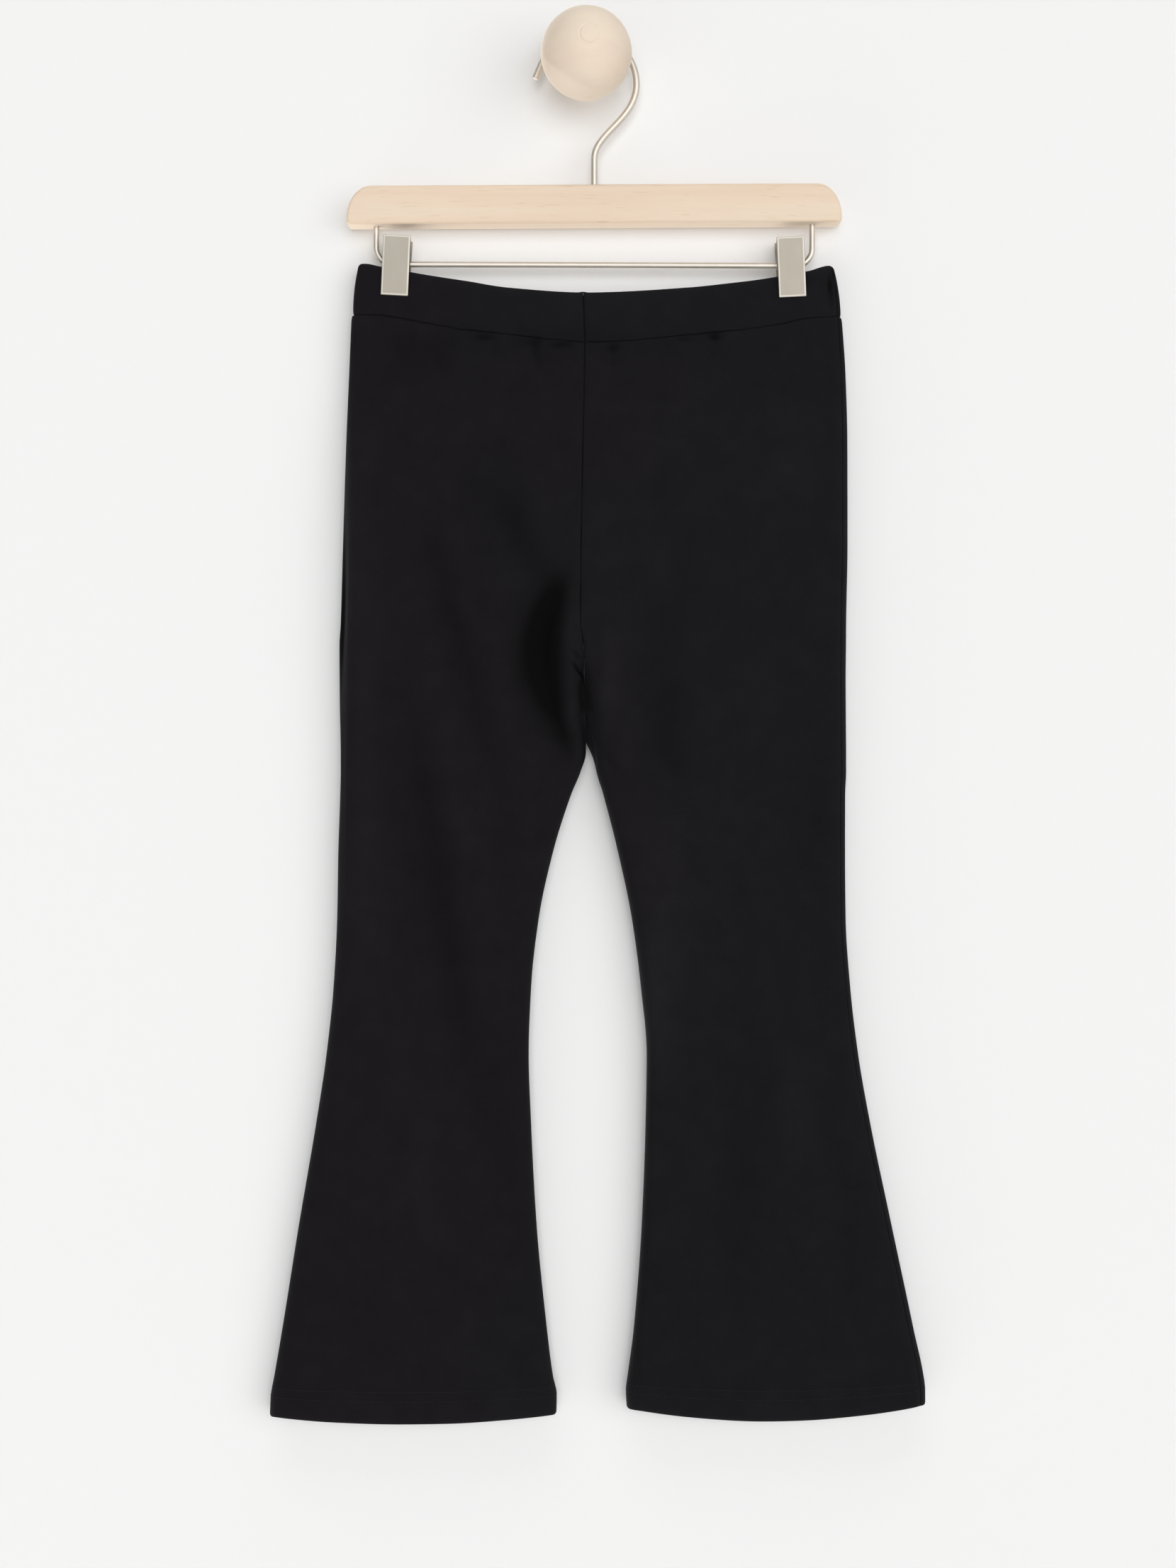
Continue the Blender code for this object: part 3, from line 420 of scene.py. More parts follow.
# Finishes
KNIT_WALE = 0.00085  # metres from one column of stitches to the next
KNIT_COURSE = 0.00062
KNIT_LIGHT_TINTS = ((0.0080, 0.0066, 0.0080), (0.0071, 0.0070, 0.0082))  # painted tints of light: the left half purplish, as under warmer light from the left, the right half bluish
KNIT_RUBBED = (0.026, 0.025, 0.027, 1.0)
KNIT_GLOSS = 0.105
KNIT_SHEEN = 0.038
KNIT_SHEEN_TINT = (0.55, 0.56, 0.62, 1.0)
KNIT_PAINTED_LIGHT = 1.35  # how much light is painted onto a rise, and shade into a hollow
KNIT_PAINTED_SHADE = 0.97
THREAD_TONES = ((0.006, 0.006, 0.007), (0.012, 0.012, 0.013))
WOOD_SHEEN_TINT = (1.0, 0.9, 0.78, 1.0)
BAR_WOOD = {
    "stretch": (5.0, 55.0, 90.0),
    "tones": ((0.73, 0.57, 0.43), (0.75, 0.60, 0.46), (0.76, 0.63, 0.49), (0.68, 0.52, 0.39)),
    "fleck": (0.60, 0.42, 0.28),
}
KNOB_WOOD = {
    "stretch": (9.0, 40.0, 60.0),
    "tones": ((0.76, 0.61, 0.49), (0.78, 0.66, 0.53), (0.79, 0.69, 0.56), (0.73, 0.57, 0.45)),
    "fleck": (0.76, 0.61, 0.48),
}
WIRE_PLATING = {
    "tones": ((0.66, 0.61, 0.54), (0.70, 0.65, 0.58), (0.76, 0.72, 0.65)),
    "roughness": (0.50, 0.58),
    "stretch": (1.0, 1.0, 1.0),
    "streaks": 500.0,
}
CLIP_PLATING = {
    "tones": ((0.355, 0.326, 0.278), (0.375, 0.347, 0.299), (0.41, 0.382, 0.334)),
    "roughness": (0.56, 0.62),
    "stretch": (1.0, 1.0, 0.06),
    "streaks": 900.0,
}
# Painted highlight along the clips' rounded rims, and painted shade over their ears
PLATING_PAINTED_HIGHLIGHT = (0.66, 0.63, 0.57, 1.0)
PLATING_PAINTED_SHADE = (0.09, 0.08, 0.07, 1.0)
WALL_PAINT = (0.83, 0.83, 0.828, 1.0)
FLOOR_PAINT = (0.80, 0.795, 0.785, 1.0)


# Small helpers


def column(columns, rows, name):
    """One named column of a table."""
    return np.array([row[columns.index(name)] for row in rows], float)


def smooth_between(places, values, at):
    """A smooth line through the rows, with no overshoot: a cubic for each stretch, whose slope at a
    row is the harmonic mean of the slopes on its two sides. Past the ends it stays level."""
    gap = np.diff(places)
    slope = np.diff(values) / gap
    tangent = np.zeros(len(places))
    same_way = slope[:-1] * slope[1:] > 0
    mean = 2 * slope[:-1] * slope[1:] / np.where(same_way, slope[:-1] + slope[1:], 1.0)
    tangent[1:-1] = np.where(same_way, mean, 0.0)
    tangent[0] = slope[0]
    tangent[-1] = slope[-1]
    at = np.clip(at, places[0], places[-1])
    i = np.clip(np.searchsorted(places, at, side="right") - 1, 0, len(gap) - 1)
    t = (at - places[i]) / gap[i]
    start = values[i] * (1 + 2 * t) * (1 - t) ** 2 + tangent[i] * gap[i] * t * (1 - t) ** 2
    end = values[i + 1] * t * t * (3 - 2 * t) + tangent[i + 1] * gap[i] * t * t * (t - 1)
    return start + end


def section(name, drop):
    """One size of the leggings at a drop, smooth between the rows."""
    places = column(SECTION_COLUMNS, SECTION_ROWS, "drop")
    return smooth_between(places, column(SECTION_COLUMNS, SECTION_ROWS, name), drop)


def band(name, x):
    """One size of the waistband at x, smooth between the rows."""
    places = column(BAND_COLUMNS, BAND_ROWS, "x")
    return smooth_between(places, column(BAND_COLUMNS, BAND_ROWS, name), x)


def waist_seam(x):
    """How low the waist seam lies: its rows' curve, with the small ripples of a stretched seam."""
    short, middle, long = WAIST_RIPPLE_SCALES
    ripple = np.sin(x / short + WAIST_RIPPLE_BEND * np.sin(x / middle)) * np.cos(x / long)
    return band("seam_drop", x) + WAIST_RIPPLE * ripple


def ease(share):
    """0 to 1 with level ends."""
    share = np.clip(share, 0.0, 1.0)
    return share * share * (3 - 2 * share)


def grid_faces(rows, cols):
    """Quads between the points of a grid."""
    number = np.arange(rows * cols).reshape(rows, cols)
    quads = (number[:-1, :-1], number[:-1, 1:], number[1:, 1:], number[1:, :-1])
    return np.stack(quads, axis=-1).reshape(-1, 4)


def ring_faces(count, sides):
    """Quads between rings of points, each ring closed on itself."""
    number = np.arange(count * sides).reshape(count, sides)
    following = np.roll(number, -1, axis=1)
    quads = (number[:-1], number[1:], following[1:], following[:-1])
    return np.stack(quads, axis=-1).reshape(-1, 4)


def fan_faces(ring, pole):
    """Triangles between a ring of points and the point that closes it."""
    return np.stack([ring, np.roll(ring, -1), np.full(len(ring), pole)], axis=1)


def turns(sides):
    """The angles of points evenly spaced round a circle."""
    return np.arange(sides) * 2 * math.pi / sides


def unit(vectors):
    """Vectors of length 1."""
    return vectors / np.linalg.norm(vectors, axis=-1, keepdims=True)


def turned_about(axis, degrees, points):
    """Points turned about an axis through the origin."""
    return points @ np.array(Matrix.Rotation(math.radians(degrees), 3, axis)).T


def placed(name, data):
    """An object of this name, in the scene."""
    obj = bpy.data.objects.new(name, data)
    bpy.context.scene.collection.objects.link(obj)
    return obj


def new_piece(name, points, faces, finish, nodes=(), sharp=None, uv=None, marks=()):
    """A mesh from points in millimetres that rides on the part's one body and stands for nodes."""
    mesh = bpy.data.meshes.new(name)
    mesh.from_pydata((np.asarray(points, float) * MM).tolist(), [], faces)
    mesh.validate()
    mesh.materials.append(finish)
    mesh.shade_smooth()
    if sharp:
        mesh.set_sharp_from_angle(angle=math.radians(sharp))
    if uv is not None:
        corner = np.empty(len(mesh.loops), np.int32)
        mesh.loops.foreach_get("vertex_index", corner)
        layer = mesh.uv_layers.new(name="cloth")
        layer.data.foreach_set("uv", (uv[corner] * MM).astype(np.float32).ravel())
    for mark, values in dict(marks).items():
        attribute = mesh.attributes.new(mark, "FLOAT", "POINT")
        attribute.data.foreach_set("value", values.astype(np.float32).ravel())
    obj = placed(name, mesh)
    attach(obj, BODY)
    if nodes:
        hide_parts(*nodes)
    return obj


# The form of the cloth


def rows_of(side, columns, rows):
    """The rows of a table that lie on one side of the cloth, with their numbers in the table."""
    for number, row in enumerate(rows):
        named = dict(zip(columns, row))
        if named["side"] == side:
            yield number, named


def along_line(fold, drop):
    """How far along a fold a drop lies, from 0 to 1, and the fold's x there: straight from its top to
    its low end, and bowed between them as a parabola."""
    along = (drop - fold["drop_top"]) / (fold["drop_low"] - fold["drop_top"])
    along = np.clip(along, 0.0, 1.0)
    line = fold["x_top"] + (fold["x_low"] - fold["x_top"]) * along
    return along, line + fold["bow"] * 4 * along * (1 - along)


def folds(side, x, drop):
    """The rise of all folds of one side: each is a bell across and half a wave along its line."""
    total = np.zeros(np.broadcast(x, drop).shape)
    for _, fold in rows_of(side, FOLD_COLUMNS, FOLD_ROWS):
        along, line = along_line(fold, drop)
        bell = np.exp(-(((x - line) / fold["half_width"]) ** 2))
        total = total + fold["rise"] * np.sin(math.pi * along) * bell
    return total


def creases(side, x, drop):
    """The rise of the finer creases: a bell across, wider on one side of its line than on the other,
    and half a wave along it that swells and shrinks a little, in its own way for each crease. The soft
    hollows and swellings are oval bells."""
    total = np.zeros(np.broadcast(x, drop).shape)
    for number, crease in rows_of(side, CREASE_COLUMNS, CREASE_ROWS):
        along, line = along_line(crease, drop)
        share, often, shift = CREASE_WANDERS
        wander = share * (crease["left"] + crease["right"]) * np.sin(often * along + shift * number)
        away = x - line - wander
        bell = np.exp(-((away / np.where(away < 0, crease["left"], crease["right"])) ** 2))
        share, often, shift = CREASE_SWELLS
        uneven = 1 + share * np.sin(often * along + shift * number)
        total = total + crease["rise"] * np.sin(math.pi * along) ** CREASE_ENDS * uneven * bell
    for _, swell in rows_of(side, SWELL_COLUMNS, SWELL_ROWS):
        wide = (x - swell["x"]) / swell["half_width"]
        high = (drop - swell["drop"]) / swell["half_height"]
        total = total + swell["rise"] * np.exp(-wide * wide - high * high)
    return total


def waves(side, x, drop):
    """The cloth is nowhere quite flat: three long, low waves that cross each other."""
    turn = WAVE_SHIFT[side]
    scale, bend = WAVE_SCALES, WAVE_BENDS
    first = np.sin(x / scale[0] + WAVE_TWISTS[0] * np.sin(drop / bend[0] + turn) + turn)
    second = np.sin(x / scale[1] - drop / bend[1] + 2 * turn)
    third = np.sin(drop / scale[2] + WAVE_TWISTS[1] * np.sin(x / bend[2]) + turn)
    return WAVE_RISES[0] * first + WAVE_RISES[1] * second + WAVE_RISES[2] * third


def pressed(side, x, drop):
    """The allowance of the waist seam stands out a little and ends in a soft step."""
    if side != "near":
        return np.zeros(np.broadcast(x, drop).shape)
    low, high = PRESSED_X
    along = ease((x - low) / PRESSED_END + 0.5) * ease((high - x) / PRESSED_END + 0.5)
    below = drop - waist_seam(x)
    return PRESSED_RISE * along * (1 - ease((below - PRESSED_BELOW_SEAM) / PRESSED_EDGE + 0.5))


def turned_up(drop):
    """1 where the hem is turned up, 0 above it, with a soft step between."""
    return ease((drop - (HEM_ROW - HEM_HEIGHT)) / HEM_STEP + 0.5)


def grip(x):
    """1 where a clip holds the band, falling to 0 beside it."""
    held = np.zeros_like(x)
    for clip_x, _, _ in CLIP_ROWS.values():
        away = np.abs(x - clip_x) - CLIP_WIDTH / 2 - CLIP_GRIP_BESIDE
        held = np.maximum(held, 1 - ease(away / CLIP_GRIP_REACH))
    return held


def band_half_depth(x, share):
    """The band's half depth: its own, pinched at the clips, and less so near its lower seam."""
    own = band("half_depth", x)
    held = grip(x) * (1 - CLIP_LETS_GO_BY * ease((share - CLIP_LET_GO) / (1 - CLIP_LET_GO)))
    return own + (CLIP_GRIP - own) * held


def across(out, inner, round_out, round_in, edge_angle, columns):
    """x and the signed share of the half depth. The side is a quarter ellipse from the silhouette to
    the flat. The inner edge turns down along another one as far as edge_angle, and what it doesn't
    turn it runs on flat, so that it is always round_in wide."""
    turn, run, tuck = columns
    way = np.sign(out - inner)
    tip = math.pi / 2 - tuck * (math.pi / 2 - edge_angle)
    start = out - way * round_out
    stop = inner + way * round_in
    x = start + way * round_out * np.cos(turn) + run * (stop - start)
    x = x - way * round_in * (np.cos(tip) + tuck * (1 - np.cos(edge_angle)))
    return x, np.sin(turn) * np.sin(tip)


def cloth_depth(side, x, drop, lowered):
    """Half the depth of a leg on one side: the waistband's at the top, the sections' own further
    down, and the folds, creases and waves."""
    own = section(side, drop)
    held = band_half_depth(x, 1.0)
    settled = ease((drop - WAIST_ROW) / BAND_FADE)
    wavy = WAVES_AT_WAIST + (1 - WAVES_AT_WAIST) * settled
    fine = creases(side, x, lowered) + waves(side, x, lowered) * wavy
    fine = fine + pressed(side, x, lowered) + HEM_STEP_RISE * turned_up(drop)
    return held + (own - held) * settled + folds(side, x, drop) + fine


def facing(share, form, x, *drops):
    """A form's near side where the share of the half depth is over 0, and its far side elsewhere."""
    return np.where(share > 0, form("near", x, *drops), form("far", x, *drops))


def rounded_off(away, radius):
    """How much lower an edge is near its corner: a quarter circle, told by the distance from the side."""
    return radius * (1 - np.sqrt(1 - (1 - np.clip(away / radius, 0.0, 1.0)) ** 2))


def lower_by(leg, x, drop):
    """How much lower a point hangs than its row: the dip of the waist above, the hem's curve below."""
    at_waist = waist_seam(x) + SEAM_GAP - WAIST_ROW
    hem = dict(zip(HEM_COLUMNS, HEM_ROWS[leg]))
    out = section(leg + "_side", HEM_ROW)
    inner = section(leg + "_inner", HEM_ROW)
    t = np.clip((x - out) / (inner - out), 0.0, 1.0)
    at_hem = hem["outer_drop"] + (hem["inner_drop"] - hem["outer_drop"]) * t
    at_hem = at_hem + hem["sag"] * 4 * t * (1 - t) - HEM_ROW
    for edge in (out, inner):
        away = np.abs(x - edge)
        corner = HEM_CORNER_HANGS / HEM_CORNER_WIDTH * rounded_off(away, HEM_CORNER_WIDTH)
        at_hem = at_hem + corner - rounded_off(away, HEM_CORNER_RADIUS)
    waist_part = (1 - np.clip((drop - WAIST_ROW) / BAND_FADE, 0.0, 1.0)) ** 2
    hem_part = (1 - np.clip((HEM_ROW - drop) / HEM_FADE, 0.0, 1.0)) ** 2
    return at_waist * waist_part + at_hem * hem_part


def joined_above_crotch(drops):
    """1 where the two legs are joined, falling to 0 at the crotch."""
    return np.clip((CROTCH_DROP - drops) / CROTCH_DIVE, 0.0, 1.0)


def panel_points(leg, drops, columns):
    """The outer skin of a panel as a grid, rows down the leg and columns in to its inner edge. Each
    row is the section at its drop, its two sides rounded by quarter ellipses."""
    mean_depth = (section("near", drops) + section("far", drops)) / 2
    out = section(leg + "_side", drops)
    inner = section(leg + "_inner", drops) + SEAM_GAP / 2 * WAY_OUT[leg]
    edge_share = np.sqrt(1 - (1 - joined_above_crotch(drops)) ** 2)
    edge_angle = np.arcsin(np.maximum(edge_share, SEAM_GAP / 2 / mean_depth))
    round_in = mean_depth * EDGE_ROUND[leg]
    x, share = across(out, inner, mean_depth * SIDE_ROUND, round_in, edge_angle, columns)
    # The right leg's far cloth reaches in behind the legs' gap, so that dark cloth stands where the gap
    # is in shade
    if leg == "right":
        at, half_height, reach = GAP_SHADE_CLOTH
        swell = reach * np.exp(-(((drops - at) / half_height) ** 2))
        x = x - np.where(share < 0, swell * np.sin(math.pi * columns[2]), 0.0)
    lowered = drops + lower_by(leg, x, drops)
    depth = facing(share, cloth_depth, x, drops, lowered)
    return np.stack([x, -share * depth, -lowered], axis=-1)


def band_points(leg, share, columns):
    """The outer skin of one quarter of the waistband. Its rows go by the share of its height, from the
    top edge's curve to the waist seam's, and its side swells out half-way down as a parabola."""
    top_side, low_side = BAND_SIDE[leg]
    way = WAY_OUT[leg]
    out = top_side + (low_side - top_side) * share + way * BAND_BULGE * 4 * share * (1 - share)
    seam_x = BAND_SEAM_X[0] + (BAND_SEAM_X[1] - BAND_SEAM_X[0]) * share
    inner = seam_x + SEAM_GAP / 2 * way
    mean_depth = (section("near", WAIST_ROW) + section("far", WAIST_ROW)) / 2
    step_out = abs(section(leg + "_side", WAIST_ROW) - low_side)
    round_out = mean_depth * SIDE_ROUND - step_out
    round_in = mean_depth * EDGE_ROUND[leg]
    x, depth_share = across(out, inner, round_out, round_in, math.pi / 2, columns)
    top = band("top_drop", x) + rounded_off(way * (top_side - x), BAND_CORNER[leg])
    top = top - BAND_SEAM_BUMP * np.exp(-(((x - seam_x) / BAND_SEAM_BUMP_WIDTH) ** 2))
    drop = top + (waist_seam(x) - top) * share
    dents = WAVES_ON_BAND * facing(depth_share, waves, x, drop) + facing(depth_share, creases, x, drop)
    depth = band_half_depth(x, share) + dents * (1 - grip(x))
    return np.stack([x, -depth_share * depth, -drop], axis=-1)


# Cloth as closed walls


def skin_and_normals(surface, rows, columns, way):
    """The points of a surface on a grid and its normals, from steps along both parameters."""
    rows = np.asarray(rows, float)[:, None]
    points = surface(rows, columns)
    step = TANGENT_STEP
    along = surface(rows, columns + step * way) - surface(rows, columns - step * way)
    row_step = step * np.ptp(rows)
    down = surface(rows + row_step, columns) - surface(rows - row_step, columns)
    return points, unit(np.cross(along, down))


def fine_columns(turn_from, turn_to, side_radius, edge_length):
    """The columns of one sheet, from its side seam to its inner edge, with more of them by both: first
    the turn round the side in radians, then the run over the flat, then the tuck round the inner edge.
    Also the way along each of the three, and the column in the middle of the flat."""
    span = abs(turn_to - turn_from)
    rim = np.degrees(RIM_PLACES / side_radius)
    steps = max(2, round((span - rim[-1]) / SIDE_STEP))
    turned = np.concatenate([rim, np.linspace(rim[-1], span, steps + 1)[1:]])
    turned = turn_from + np.sign(turn_to - turn_from) * turned
    flat = np.linspace(0.0, 1.0, FLAT_STEPS + 1)[1:]
    rim = 1 - RIM_PLACES[::-1] / edge_length
    edge = np.concatenate([np.linspace(0.0, rim[0], EDGE_STEPS + 1)[1:-1], rim])
    turn = np.concatenate([turned, np.full(len(flat) + len(edge), turn_to)])
    run = np.concatenate([np.zeros(len(turned)), flat, np.ones(len(edge))])
    tuck = np.concatenate([np.zeros(len(turned) + len(flat)), edge])
    flat_from = len(turned)
    flat_to = flat_from + len(flat)
    way = np.zeros((3, len(turn)))
    way[0, :flat_from] = np.sign(turn_to - turn_from)
    way[1, flat_from:flat_to] = 1.0
    way[2, flat_to:] = 1.0
    return np.stack([np.radians(turn), run, tuck]), way, flat_from + len(flat) // 2


def lengths(points, axis):
    """How far each point lies along its row or column, and how far it is from that line's end."""
    step = np.linalg.norm(np.diff(points, axis=axis), axis=-1)
    start = np.zeros_like(np.take(step, [0], axis=axis))
    run = np.concatenate([start, np.cumsum(step, axis=axis)], axis=axis)
    return run, np.take(run, [-1], axis=axis) - run


def wear_and_painted_shading(side, outer, away, seams, worn):
    """What the knit's finish reads at each point: wear is 1 at the edge that rubs and dies away from
    it. The other mark is 1 where the most shade is painted, in a seam's groove or where the folds lie
    deepest, and less than 0 where light is painted on a rise."""
    x, drop = outer[..., 0], -outer[..., 2]
    lost, reach = GROOVE_NEAR_SIDE
    by_side = 1 - lost * np.exp(-((away["side"] / reach) ** 2))
    # Painted shade in the seams' grooves
    groove_shade = []
    for edge, share in seams.items():
        groove = share * np.exp(-((away[edge] / SEAM_GROOVE_SHADE) ** 2))
        groove_shade.append(groove if edge in ("side", "inner") else groove * by_side)
    along = x + drop
    short, long = GROOVE_SCALES
    uneven = 1 - GROOVE_UNEVEN * (1 - np.sin(along / short + GROOVE_BEND * np.sin(along / long)))
    groove_shade = np.max(groove_shade, axis=0) * uneven
    groove_shade = np.where(groove_shade > GROOVE_FAINTEST, groove_shade, -1.0)
    # Painted shade where the folds lie deep, and painted light where they rise
    sunk = -(folds(side, x, drop) + creases(side, x, drop)) / PAINTED_SHADE_DEPTH
    wear = np.exp(-away[worn] / WEAR_WIDTH)
    return {"wear": wear, "painted_shading": np.clip(np.maximum(sunk, groove_shade), PAINTED_LIGHT_MOST, 1.0)}


def closed_wall(node, side, skin, middle_column, wall, seams, worn, finish):
    """A wall of cloth about its middle surface. Towards every edge its half thickness shrinks as the
    height of a quarter circle does, so that its two skins meet in a rounded rim, and beside a seam
    the whole wall dips by a bell. seams gives the share of that dip at each edge that is a seam, and
    worn names the edge that rubs."""
    outer, normals = skin
    outwards = np.sign((normals[..., 1] * outer[..., 1]).sum())
    normals = normals * outwards
    half = np.broadcast_to(wall, outer.shape[:2]) / 2
    middle = outer - normals * half[..., None]
    from_side, from_inner = lengths(middle, 1)
    from_top, from_foot = lengths(middle, 0)
    away = {"side": from_side, "inner": from_inner, "top": from_top, "foot": from_foot}
    nearest = np.min(list(away.values()), axis=0)
    shrink = np.sqrt(np.clip(1 - (1 - np.clip(nearest / half, 0.0, 1.0)) ** 2, 0.0, 1.0))
    dips = [share * np.exp(-((away[edge] / SEAM_DIP_WIDTH) ** 2)) for edge, share in seams.items()]
    middle = middle - normals * (SEAM_DIP * np.max(dips, axis=0))[..., None]
    front = middle + normals * (half * shrink)[..., None]
    back = middle - normals * (half * shrink)[..., None]
    rows, cols = outer.shape[:2]
    inside = np.zeros((rows, cols), bool)
    inside[1:-1, 1:-1] = True
    behind = np.arange(rows * cols).reshape(rows, cols)
    behind[inside] = rows * cols + np.arange(inside.sum())
    points = np.concatenate([front.reshape(-1, 3), back[inside]])
    points = points + (HANGER_X, HANG_Y, WAIST_TOP_Z)
    quads = grid_faces(rows, cols)
    faces = np.concatenate([quads, behind.ravel()[quads[:, ::-1]]])
    if outwards < 0:
        faces = faces[:, ::-1]
    towards = np.sign(outer[0, -1, 0] - outer[0, 0, 0])
    u = towards * (from_side - from_side[:, [middle_column]]) + outer[:, [middle_column], 0]
    uv = np.stack([u, outer[..., 2]], axis=-1)
    uv = np.concatenate([uv.reshape(-1, 2), uv[inside]])
    marks = wear_and_painted_shading(side, outer, away, seams, worn)
    for mark, values in marks.items():
        marks[mark] = np.concatenate([values.ravel(), values[inside]])
    name = node + "_cloth"
    return new_piece(name, points, faces.tolist(), finish, [node], uv=uv, marks=marks)


def sheet_columns(leg, side, seam_radius, rim_radius, edge_length):
    """The columns of one sheet, which begins half a seam's gap beside the middle of its side seam."""
    turn = SIDE_SEAM_TURN[leg] + FACING[side] * math.degrees(SEAM_GAP / 2 / seam_radius)
    return fine_columns(turn, FACING[side] * 90.0, rim_radius, edge_length)


def panel_columns(leg, side):
    return sheet_columns(leg, side, PANEL_SIDE_RADIUS, PANEL_RIM_RADIUS, PANEL_EDGE_LENGTH)


def make_panel(leg, side, node, finish):
    """A leg's near or far half: rows down its drops, thicker where the hem is turned up."""
    drops = [WAIST_ROW + RIM_PLACES]
    for start, stop, step in DROP_STRETCHES:
        drops.append(np.linspace(start, stop, round((stop - start) / step) + 1)[:-1])
    drops = np.concatenate([*drops, HEM_ROW - RIM_PLACES[::-1]])
    wall = (PANEL_WALL + (HEM_WALL - PANEL_WALL) * turned_up(drops))[:, None]
    columns, way, middle = panel_columns(leg, side)
    skin = skin_and_normals(lambda r, c: panel_points(leg, r, c), drops, columns, way)
    joined = joined_above_crotch(drops)[:, None]
    seams = {"side": SIDE_SEAM_SHARE, "inner": joined, "top": WAIST_SEAM_SHARE}
    return closed_wall(node, side, skin, middle, wall, seams, "foot", finish)


def make_band(leg, side, node, finish):
    """A quarter of the waistband: rows by the share of its height."""
    radius = BAND_SIDE_RADIUS
    columns, way, middle = sheet_columns(leg, side, radius, radius, BAND_EDGE_LENGTH)
    rim = RIM_PLACES / BAND_HEIGHT
    shares = np.linspace(rim[-1], 1 - rim[-1], BAND_STEPS + 1)[1:-1]
    shares = np.concatenate([rim, shares, 1 - rim[::-1]])
    skin = skin_and_normals(lambda r, c: band_points(leg, r, c), shares, columns, way)
    seams = {"side": SIDE_SEAM_SHARE, "inner": 1.0, "foot": WAIST_SEAM_SHARE}
    return closed_wall(node, side, skin, middle, BAND_WALL, seams, "top", finish)


def make_stitches(leg, side, name, finish):
    """Two rows of stitches above the hem's edge. Each stitch is a small spindle, laid along its row
    and half sunk in the cloth: rings of a few points that grow and shrink as half a sine does."""
    columns, way, _ = panel_columns(leg, side)
    frames = []
    for row in HEM_ROW - np.array(STITCH_ABOVE_EDGE):
        near_rows = (row - 1.0, row, row + 1.0)  # the ones beside it give its normals their step
        surface = skin_and_normals(lambda r, c: panel_points(leg, r, c), near_rows, columns, way)
        line, normals = surface[0][1], surface[1][1]
        normals = normals * np.sign((normals[..., 1] * line[..., 1]).sum())
        run = lengths(line, 0)[0]
        count = int((run[-1] - STITCH_ROW_ENDS) / STITCH_PITCH)
        at = run[-1] / 2 + (np.arange(count) - (count - 1) / 2) * STITCH_PITCH
        ahead = at + STITCH_LENGTH / 5
        found = []
        for where, what in ((at, line), (ahead, line), (at, normals)):
            found.append(np.stack([np.interp(where, run, what[:, k]) for k in range(3)], axis=1))
        frames.append(found)
    centre, ahead, up = (np.concatenate(part) for part in zip(*frames))
    along = unit(ahead - centre)
    up = unit(up)
    beside = np.cross(up, along)
    share = np.linspace(0.0, 1.0, STITCH_RINGS + 2)[1:-1]
    girth = np.sin(math.pi * share)[:, None] ** 0.5
    angle = turns(STITCH_SIDES)
    tips = [0.0, 0.0]
    wide = np.concatenate([(girth * np.cos(angle) * STITCH_WIDTH / 2).ravel(), tips])
    high = np.concatenate([(girth * np.sin(angle) * STITCH_HEIGHT).ravel(), tips])
    far = np.concatenate([np.repeat(share - 0.5, STITCH_SIDES), [-0.5, 0.5]]) * STITCH_LENGTH
    points = centre[:, None] + along[:, None] * far[:, None] + beside[:, None] * wide[:, None]
    points = points + up[:, None] * high[:, None]
    size = len(far)
    first = np.arange(STITCH_SIDES)
    last = first + (STITCH_RINGS - 1) * STITCH_SIDES
    caps = np.concatenate([fan_faces(first, size - 2), fan_faces(last[::-1], size - 1)])
    faces = []
    for shape in (ring_faces(STITCH_RINGS, STITCH_SIDES)[:, ::-1], caps):
        repeated = shape + (np.arange(len(centre)) * size)[:, None, None]
        faces += repeated.reshape(-1, shape.shape[1]).tolist()
    points = points.reshape(-1, 3) + (HANGER_X, HANG_Y, WAIST_TOP_Z)
    return new_piece(name, points, faces, finish)


# Wood, wire and clips


def inset(outline, by):
    """A closed outline moved inwards along its own normals."""
    edge = np.roll(outline, -1, axis=0) - np.roll(outline, 1, axis=0)
    return outline - unit(np.stack([edge[:, 1], -edge[:, 0]], axis=1)) * by


def arc(centre, radius, start, end, steps):
    """Points round a centre, a radius away, from one angle to another in equal steps."""
    angle = np.radians(np.linspace(start, end, steps + 1))
    return np.stack([np.cos(angle), np.sin(angle)], axis=1) * radius + centre


def with_depth(outline, depths):
    """An outline of x and z with its depths as y."""
    return np.stack([outline[:, 0], np.broadcast_to(depths, len(outline)), outline[:, 1]], axis=1)


def stacked(layers):
    """Points and faces of a solid from layers of one outline each, closed flat at both ends."""
    count = len(layers[0])
    faces = ring_faces(len(layers), count).tolist()
    number = np.arange(len(layers) * count).reshape(len(layers), count)
    faces += [number[0].tolist(), number[-1, ::-1].tolist()]
    return np.concatenate(layers), faces


def bar_outline():
    """The bar seen from the front, from its right foot, a quarter circle, over its shoulder, a quarter
    ellipse, and its level top to the same at the left."""
    half = BAR_LENGTH / 2
    long, down = BAR_SHOULDER
    radius = BAR_FOOT_RADIUS
    foot = arc((half - radius, radius), radius, -90.0, 0.0, BAR_FOOT_STEPS)
    shoulder = arc((0.0, 0.0), 1.0, 0.0, 90.0, BAR_SHOULDER_STEPS) * (long, down)
    right = np.concatenate([foot, shoulder[1:] + (half - long, BAR_HEIGHT - down)])
    left = right[::-1] * (-1, 1)
    top = np.linspace(right[-1], left[0], BAR_LONG_STEPS + 1)[1:-1]
    low = np.linspace(left[-1], right[0], BAR_LONG_STEPS + 1)[1:-1]
    return np.concatenate([right, top, left, low])


